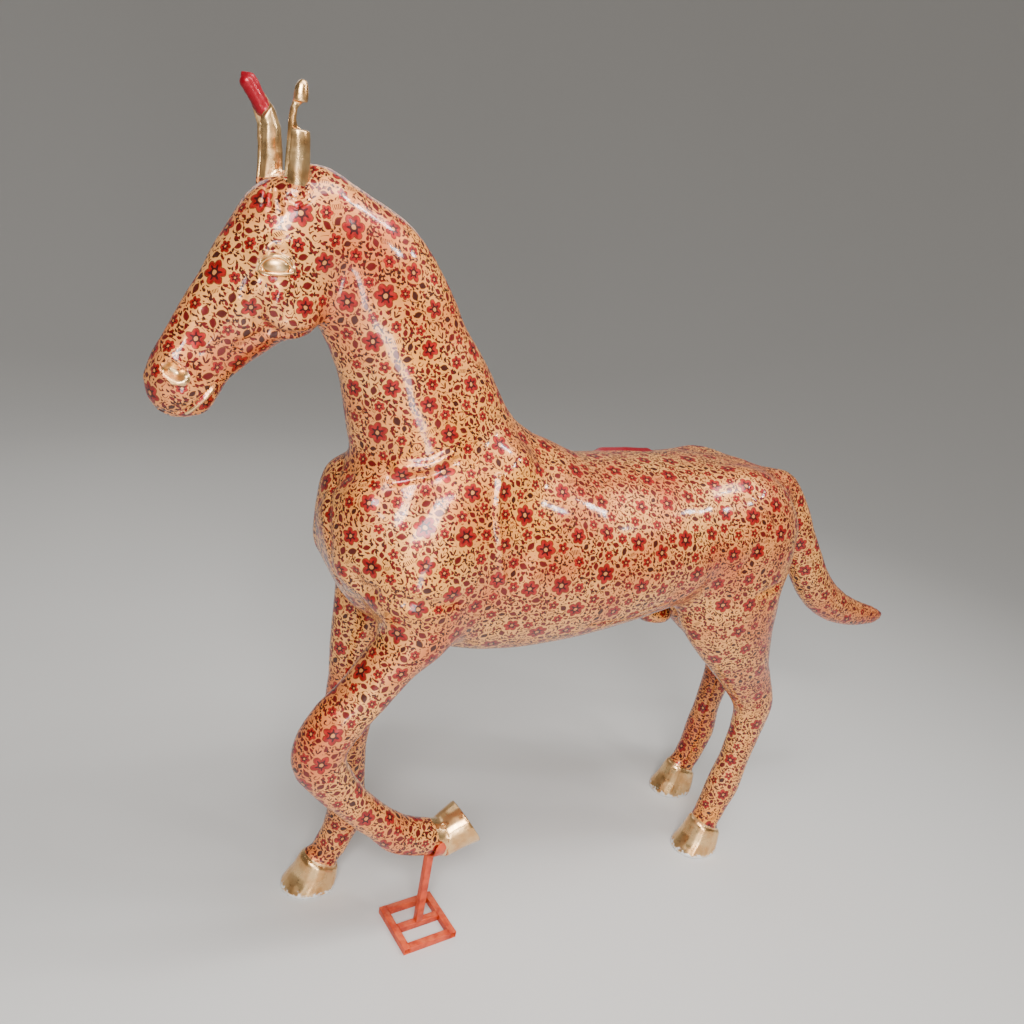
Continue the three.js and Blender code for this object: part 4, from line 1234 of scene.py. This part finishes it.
def leaf_group():
    tree, build, given, result = group(
        "printed leaf", {"Place": "vector", "Random": "vector"},
        {"Leaf": "value", "Outline": "value", "Strokes": "value", "Cover": "value"},
    )
    kind, size, _ = build.split(given["Random"])
    place_in = build.scale(given["Place"], build.ramp(size, 0.0, 1.0, *MOTIF_SHRINK))
    x, y, _ = build.split(place_in)
    side = build.size(y)
    is_leaf = build.is_under(kind, LEAF_SHARE)
    tip = build.minus(1.0, build.math("POWER", build.over(x, LEAF_HALF_LENGTH), 2.0))
    off_side = build.minus(side, build.times(LEAF_HALF_WIDTH, build.larger(tip, 0.0)))
    leaf = build.times(build.ramp(off_side, *LEAF_SIDE), is_leaf)
    edge = build.times(build.ramp(off_side, *LEAF_OUTLINE), build.is_under(build.size(x), LEAF_OUTLINE_END))
    edge = build.minus(build.times(edge, is_leaf), leaf, clamp=True)
    upper = turned_oval(build, place_in, SPRIG_UPPER_AT, SPRIG_ANGLE, *SPRIG_HALF_SIZES)
    lower = turned_oval(build, place_in, SPRIG_LOWER_AT, -SPRIG_ANGLE, *SPRIG_HALF_SIZES)
    stem = turned_oval(build, place_in, SPRIG_STEM_AT, 0.0, *SPRIG_STEM)
    sprig = build.ramp(build.math("MINIMUM", build.math("MINIMUM", upper, lower), stem), *SPRIG_EDGE)
    sprig = build.times(sprig, between(build, kind, LEAF_SHARE, SPRIG_SHARE))
    reach = build.vector("LENGTH", place_in)
    around = build.math("ARCTAN2", y, x)
    winding = build.plus(CURL_REACH, build.times(around, CURL_GROWTH))
    thickness = build.ramp(around, -math.pi, 0.5 * math.pi, *CURL_THICKNESS)
    curl = build.ramp(build.over(build.size(build.minus(reach, winding)), thickness), *CURL_EDGE)
    curl = build.times(curl, between(build, kind, SPRIG_SHARE, CURL_SHARE))
    curl = build.times(curl, build.is_under(around, CURL_END))
    tooth = build.size(build.minus(build.math("FRACT", build.over(x, COMB_STEP)), 0.5))
    comb = build.times(build.ramp(tooth, *COMB_TOOTH), build.ramp(side, *COMB_SIDE))
    comb = build.times(comb, build.ramp(build.size(x), *COMB_END))
    comb = build.times(comb, build.is_over(kind, CURL_SHARE))
    thin_ones = build.larger(sprig, build.larger(curl, comb))
    build.feed_all(result, Leaf=leaf, Outline=edge, Strokes=thin_ones, Cover=build.ramp(reach, *MOTIF_END))
    return tree


leaf_print = leaf_group()

# %% [markdown]
# ## Brush strokes of the filling
#
# Short comma strokes fill the ground between the motifs. A cell pattern in space gives each stroke a
# middle and random numbers; the offset from that middle is laid flat on the surface, so the strokes keep
# their length and width on every side of the horse. A cell whose middle lies too far above or below the
# surface would show only a scrap of its stroke, so it stays empty.

# %% Comma strokes
WHOLE_STROKES = 0.34
STROKE_LEAN = (0.15, 0.70, 0.20)
STROKE_SCATTER = 0.6
STROKE_BEND = 3.2
STROKE_EDGE = (1.1, 0.85)


def stroke_group():
    tree, build, given, result = group(
        "comma strokes",
        {"Place": "vector", "Normal": "vector", "Cell": "value", "Length": "value", "Width": "value"},
        {"Stroke": "value"},
    )
    cells = build.add("ShaderNodeTexVoronoi", voronoi_dimensions="3D", feature="F1")
    per_cell = build.over(1.0, given["Cell"])
    scaled = build.scale(given["Place"], per_cell)
    build.feed_all(cells.inputs, Vector=scaled, Scale=1.0, Randomness=STROKE_SCATTER)
    offset = build.scale(build.vector("SUBTRACT", scaled, cells.outputs["Position"]), given["Cell"])
    lean = build.vector("SUBTRACT", cells.outputs["Color"], STROKE_LEAN)
    first = build.vector("NORMALIZE", build.vector("CROSS_PRODUCT", given["Normal"], lean))
    second = build.vector("CROSS_PRODUCT", given["Normal"], first)
    x = build.vector("DOT_PRODUCT", offset, first)
    y = build.vector("DOT_PRODUCT", offset, second)
    above = build.size(build.vector("DOT_PRODUCT", offset, given["Normal"]))
    whole = build.is_under(above, build.times(given["Cell"], WHOLE_STROKES))
    bend = build.over(build.math("POWER", x, 2.0), build.times(given["Length"], STROKE_BEND))
    y = build.plus(y, bend)
    half_length = build.times(given["Length"], 0.5)
    narrowing = build.times(build.over(x, given["Length"]), 0.5)
    half_width = build.times(given["Width"], build.minus(0.5, narrowing))
    drawn = build.ramp(oval(build, x, y, half_length, half_width), *STROKE_EDGE)
    build.feed(result["Stroke"], build.times(drawn, whole))
    return tree


strokes = stroke_group()

# %% [markdown]
# ## Lacquered print and gold
#
# One material dresses the whole figure. Ink by ink it prints the ground, the stems, four layers of
# brush strokes, the leaves and the flowers, each layer covering what lies below it. Gold leaf and red
# come on top where the stored depths say so, and a clear glossy coat closes all of it. At the soles the
# leaf has chipped off and the pale filler shows.

# %% Inks
CREAM = linear(244, 166, 86)
PEACH = linear(216, 114, 58)
GOLDEN = linear(242, 154, 54)
STEM = linear(92, 58, 16)
OLIVE_STROKE = linear(104, 46, 14)
BROWN_STROKE = linear(58, 14, 4)
LEAF_RED = linear(100, 6, 4)
LEAF_BROWN = linear(62, 16, 4)
LEAF_EDGE = linear(76, 34, 8)
SPRIG = linear(70, 12, 6)
PETAL = linear(132, 6, 6)
PETAL_LIGHT = linear(168, 24, 18)
STREAK = linear(58, 2, 2)
HEART = linear(202, 128, 66)
FLOWER_EDGE = linear(64, 12, 4)
GOLD = linear(246, 202, 142)
GOLD_DEEP = linear(226, 170, 108)
PLASTER = linear(226, 226, 224)
WORN_LOW = 0.006
WORN_HIGH = 0.015
CHIP_HEIGHT = 0.045
TONGUE_RED = linear(138, 0, 22)
PAPER_METAL = 0.35
PAPER_COAT = 0.55
GOLD_COAT = 0.3
BARE_COAT = 0.3
PAPER_ROUGHNESS = (0.36, 0.50)
GOLD_ROUGHNESS = (0.24, 0.38)
COAT_ROUGHNESS = 0.10
SPECULAR_LEVEL = 0.35
STROKE_LAYERS = (
    ((0.0, 0.0, 0.0), 10.0, 8.0, 3.0, OLIVE_STROKE),
    ((331.0, 77.0, 519.0), 11.0, 9.4, 4.2, BROWN_STROKE),
    ((113.0, 641.0, 27.0), 12.0, 10.4, 4.8, LEAF_BROWN),
    ((457.0, 211.0, 302.0), 14.0, 12.0, 6.2, LEAF_RED),
)
LARGE_RADIUS = 22.0
SMALL_RADIUS = 12.5
HAND_SHAKE = 5.0
STEM_LINE = (0.006, 0.002)
GROUND_WAVER = 0.004
GROUND_EDGE = 0.0008


def print_flower(build, colour, ground, tiles, radius, wobble, petal):
    """Prints one size of flower over the colour below."""
    uv = build.add("ShaderNodeUVMap", uv_map=tiles).outputs["UV"]
    spot = build.use(motif_place, Tiles=uv, Wobble=wobble)
    inks = build.use(flower, Place=spot["Place"], Random=spot["Random"], Radius=radius)
    colour = build.mix(inks["Cover"], colour, ground)
    colour = build.mix(inks["Outline"], colour, FLOWER_EDGE)
    colour = build.mix(inks["Petals"], colour, petal)
    colour = build.mix(inks["Streaks"], colour, STREAK)
    return build.mix(inks["Heart"], colour, HEART)


def print_leaves(build, colour, ground, wobble):
    uv = build.add("ShaderNodeUVMap", uv_map="leaves").outputs["UV"]
    spot = build.use(motif_place, Tiles=uv, Wobble=wobble)
    inks = build.use(leaf_print, Place=spot["Place"], Random=spot["Random"])
    tint = build.split(spot["Random"])[2]
    colour = build.mix(inks["Cover"], colour, ground)
    colour = build.mix(inks["Outline"], colour, LEAF_EDGE)
    colour = build.mix(inks["Leaf"], colour, build.mix(build.ramp(tint, 0.5, 0.8), LEAF_RED, LEAF_BROWN))
    return build.mix(inks["Strokes"], colour, SPRIG)


def blotches(build, place, scale, start, end, detail=2.0):
    """A mask of soft patches from noise of this scale."""
    return build.ramp(build.noise(place, scale, detail), start, end)


def printed_paper(build, place, normal):
    """The colour of the print."""
    millimetres = build.scale(place, 1000.0)
    ground = build.mix(blotches(build, place, 5.0, 0.35, 0.68), CREAM, PEACH)
    ground = build.mix(blotches(build, place, 2.3, 0.55, 0.75), ground, GOLDEN)
    shake = build.add("ShaderNodeTexNoise")
    build.feed_all(shake.inputs, Vector=place, Scale=75.0)
    wobble = build.scale(build.vector("SUBTRACT", shake.outputs["Color"], (0.5, 0.5, 0.5)), HAND_SHAKE)
    contour = build.size(build.minus(build.noise(place, 19.0, 1.0), 0.5))
    colour = build.mix(build.ramp(contour, *STEM_LINE), ground, STEM)
    for shift, cell, length, width, ink in STROKE_LAYERS:
        moved = build.vector("ADD", millimetres, shift)
        layer = build.use(strokes, Place=moved, Normal=normal, Cell=cell, Length=length, Width=width)
        colour = build.mix(layer["Stroke"], colour, ink)
    colour = print_leaves(build, colour, ground, wobble)
    petal = build.mix(blotches(build, place, 90.0, 0.42, 0.62), PETAL, PETAL_LIGHT)
    colour = print_flower(build, colour, ground, "small_flowers", SMALL_RADIUS, wobble, petal)
    return print_flower(build, colour, ground, "large_flowers", LARGE_RADIUS, wobble, petal)


def ground_mask(build, name, place):
    """A clean but hand-drawn edge from a depth that is stored on the points."""
    depth = build.add("ShaderNodeAttribute", attribute_name=name).outputs["Fac"]
    waver = build.times(build.minus(build.noise(place, 110.0), 0.5), GROUND_WAVER)
    return build.ramp(build.plus(depth, waver), -GROUND_EDGE, GROUND_EDGE)


def new_material(name):
    """A fresh material: its nodes, the sockets of its shader, and the places on its surface."""
    material = bpy.data.materials.new(name)
    material.use_nodes = True
    build = Nodes(material.node_tree)
    shader = material.node_tree.nodes["Principled BSDF"].inputs
    return material, build, shader, build.add("ShaderNodeTexCoord").outputs


def grain(build, shader, height, depth, strength):
    """Gives a surface a fine unevenness that only its shading shows."""
    bump = build.add("ShaderNodeBump")
    bump.inputs["Distance"].default_value = depth
    bump.inputs["Strength"].default_value = strength
    build.feed(bump.inputs["Height"], height)
    build.feed(shader["Normal"], bump.outputs["Normal"])


def lacquered_skin():
    material, build, shader, surface = new_material("lacquered print and gold")
    place = surface["Object"]
    gilded = ground_mask(build, "gilding", place)
    red = ground_mask(build, "redness", place)
    chips = build.times(build.minus(build.noise(place, 95.0, 3.0), 0.5), CHIP_HEIGHT)
    height = build.plus(build.split(place)[2], chips)
    worn = build.times(build.ramp(height, WORN_HIGH, WORN_LOW), gilded)
    bare = build.larger(red, worn)
    metal = build.minus(gilded, bare, clamp=True)
    colour = printed_paper(build, place, surface["Normal"])
    leafing = build.mix(blotches(build, place, 26.0, 0.38, 0.66, 4.0), GOLD, GOLD_DEEP)
    colour = build.mix(gilded, colour, leafing)
    colour = build.mix(red, colour, TONGUE_RED)
    colour = build.mix(worn, colour, PLASTER)
    build.feed(shader["Base Color"], colour)
    build.feed(shader["Metallic"], build.ramp(metal, 0.0, 1.0, PAPER_METAL, 1.0))
    matter = build.add("ShaderNodeMix", data_type="FLOAT")
    build.feed(matter.inputs[0], metal)
    build.feed(matter.inputs[2], build.ramp(build.noise(place, 60.0, 3.0), 0.3, 0.7, *PAPER_ROUGHNESS))
    build.feed(matter.inputs[3], build.ramp(build.noise(place, 45.0, 3.0), 0.3, 0.7, *GOLD_ROUGHNESS))
    build.feed(shader["Roughness"], matter.outputs[0])
    coat = build.ramp(metal, 0.0, 1.0, PAPER_COAT, GOLD_COAT)
    coat = build.times(coat, build.ramp(bare, 0.0, 1.0, 1.0, BARE_COAT))
    build.feed(shader["Coat Weight"], coat)
    shader["Coat Roughness"].default_value = COAT_ROUGHNESS
    shader["Specular IOR Level"].default_value = SPECULAR_LEVEL
    grain(build, shader, build.noise(place, 130.0, 4.0), 0.0004, 0.6)
    return material


def dress(piece, material):
    piece.data.materials.clear()
    piece.data.materials.append(material)


dress(horse, lacquered_skin())
print("figure's material:", len(horse.data.materials[0].node_tree.nodes), "nodes")

# %% [markdown]
# ## Painted steel
#
# The stand wears one coat of satin red-oxide paint from a spray can. It is a little darker where it lies
# thick, slightly grained like orange peel, and a paler tint of the oxide in patches on its upper faces.

# %% Painted steel
OXIDE = linear(206, 72, 32)
OXIDE_DEEP = linear(170, 46, 16)
OXIDE_UPPER_TINT = linear(216, 112, 70)
UPPER_TINT_SHARE = 0.45
OXIDE_ROUGHNESS = (0.34, 0.52)


def painted_steel():
    material, build, shader, surface = new_material("red oxide paint")
    place = surface["Object"]
    colour = build.mix(blotches(build, place, 34.0, 0.40, 0.66, 4.0), OXIDE, OXIDE_DEEP)
    upward = build.split(surface["Normal"])[2]
    # Upward faces take a paler tint of the same oxide, in patches.
    upper_tint = build.times(build.ramp(upward, 0.5, 1.0), blotches(build, place, 70.0, 0.4, 0.7, 5.0))
    build.feed(shader["Base Color"], build.mix(build.times(upper_tint, UPPER_TINT_SHARE), colour, OXIDE_UPPER_TINT))
    build.feed(shader["Roughness"], build.ramp(build.noise(place, 90.0, 3.0), 0.3, 0.7, *OXIDE_ROUGHNESS))
    grain(build, shader, build.noise(place, 600.0, 3.0), 0.0003, 0.5)
    return material


steel_paint = painted_steel()
for piece in stand:
    dress(piece, steel_paint)
print("stand painted:", len(stand), "pieces")

# %% [markdown]
# ## Studio
#
# The figure stands on a round pale floor whose rim turns up, as a photographer's paper does, so no
# horizon shows from any side. Two large soft lamps light it from the front left and from above, and a
# third fills the far side. Four small lamps give the broken highlights along the back and the crest in
# the photograph, and an upright strip near the floor gives those on the hooves.

# %% Floor
FLOOR_RADIUS = 4.5
COVE_RADIUS = 6.0
COVE_STEPS = 20
FLOOR_CORNERS = 128
FLOOR_COLOUR = (0.60, 0.585, 0.56, 1.0)
FLOOR_ROUGHNESS = 0.7
FLOOR_EDGE = math.radians(40.0)

bpy.ops.mesh.primitive_circle_add(vertices=FLOOR_CORNERS, radius=FLOOR_RADIUS, fill_type="NGON")
floor = bpy.context.active_object
floor.name = "floor"
bpy.ops.object.mode_set(mode="EDIT")
bpy.ops.mesh.select_all(action="SELECT")
reach = FLOOR_RADIUS
height = 0.0
for step in range(1, COVE_STEPS + 1):
    angle = math.radians(90.0) * step / COVE_STEPS
    new_reach = FLOOR_RADIUS + COVE_RADIUS * math.sin(angle)
    new_height = COVE_RADIUS * (1.0 - math.cos(angle))
    if step == 1:
        bpy.ops.mesh.select_mode(type="EDGE")
        bpy.ops.mesh.region_to_loop()
    bpy.ops.mesh.extrude_edges_move(TRANSFORM_OT_translate={"value": (0.0, 0.0, new_height - height)})
    bpy.ops.transform.resize(value=(new_reach / reach, new_reach / reach, 1.0))
    reach = new_reach
    height = new_height
bpy.ops.object.mode_set(mode="OBJECT")
bpy.ops.object.shade_smooth_by_angle(angle=FLOOR_EDGE)

paper = bpy.data.materials.new("studio paper")
paper.use_nodes = True
paper_shader = paper.node_tree.nodes["Principled BSDF"]
paper_shader.inputs["Base Color"].default_value = FLOOR_COLOUR
paper_shader.inputs["Roughness"].default_value = FLOOR_ROUGHNESS
floor.data.materials.append(paper)
print("floor:", len(floor.data.polygons), "faces")

# %% Lamps
LAMPS = {
    "front_left": (Vector((-2.1, -3.1, 3.3)), (1.8, 1.4), 250.0),
    "overhead": (Vector((0.3, -1.0, 4.2)), (2.6, 1.2), 110.0),
    "crest_spark": (Vector((0.85, -0.8, 3.4)), (0.20, 0.20), 12.0),
    "croup_spark": (Vector((2.4, -1.25, 3.4)), (0.22, 0.22), 16.0),
    "hip_spark": (Vector((1.6, -2.3, 3.3)), (0.20, 0.20), 14.0),
    "low_strip": (Vector((-1.1, -3.6, 0.75)), (0.50, 1.3), 44.0),
    "nose_spark": (Vector((-2.2, -2.6, 3.4)), (0.25, 0.15), 14.0),
    "far_side": (Vector((0.2, 3.6, 3.4)), (4.4, 2.4), 42.0),
}
WORLD_COLOUR = (0.95, 0.91, 0.86, 1.0)
WORLD_STRENGTH = 0.18
AIM = Vector((0.0, 0.0, 1.0))

for name, (spot, (width, depth), power) in LAMPS.items():
    lamp_data = bpy.data.lights.new(name, "AREA")
    lamp_data.shape = "RECTANGLE"
    lamp_data.size = width
    lamp_data.size_y = depth
    lamp_data.energy = power
    lamp = bpy.data.objects.new(name, lamp_data)
    bpy.context.scene.collection.objects.link(lamp)
    lamp.location = spot
    lamp.rotation_euler = (AIM - spot).to_track_quat("-Z", "Y").to_euler()

world = bpy.data.worlds.new("soft room")
world.use_nodes = True
background = world.node_tree.nodes["Background"]
background.inputs["Color"].default_value = WORLD_COLOUR
background.inputs["Strength"].default_value = WORLD_STRENGTH
bpy.context.scene.world = world
print("lamps:", len(LAMPS))
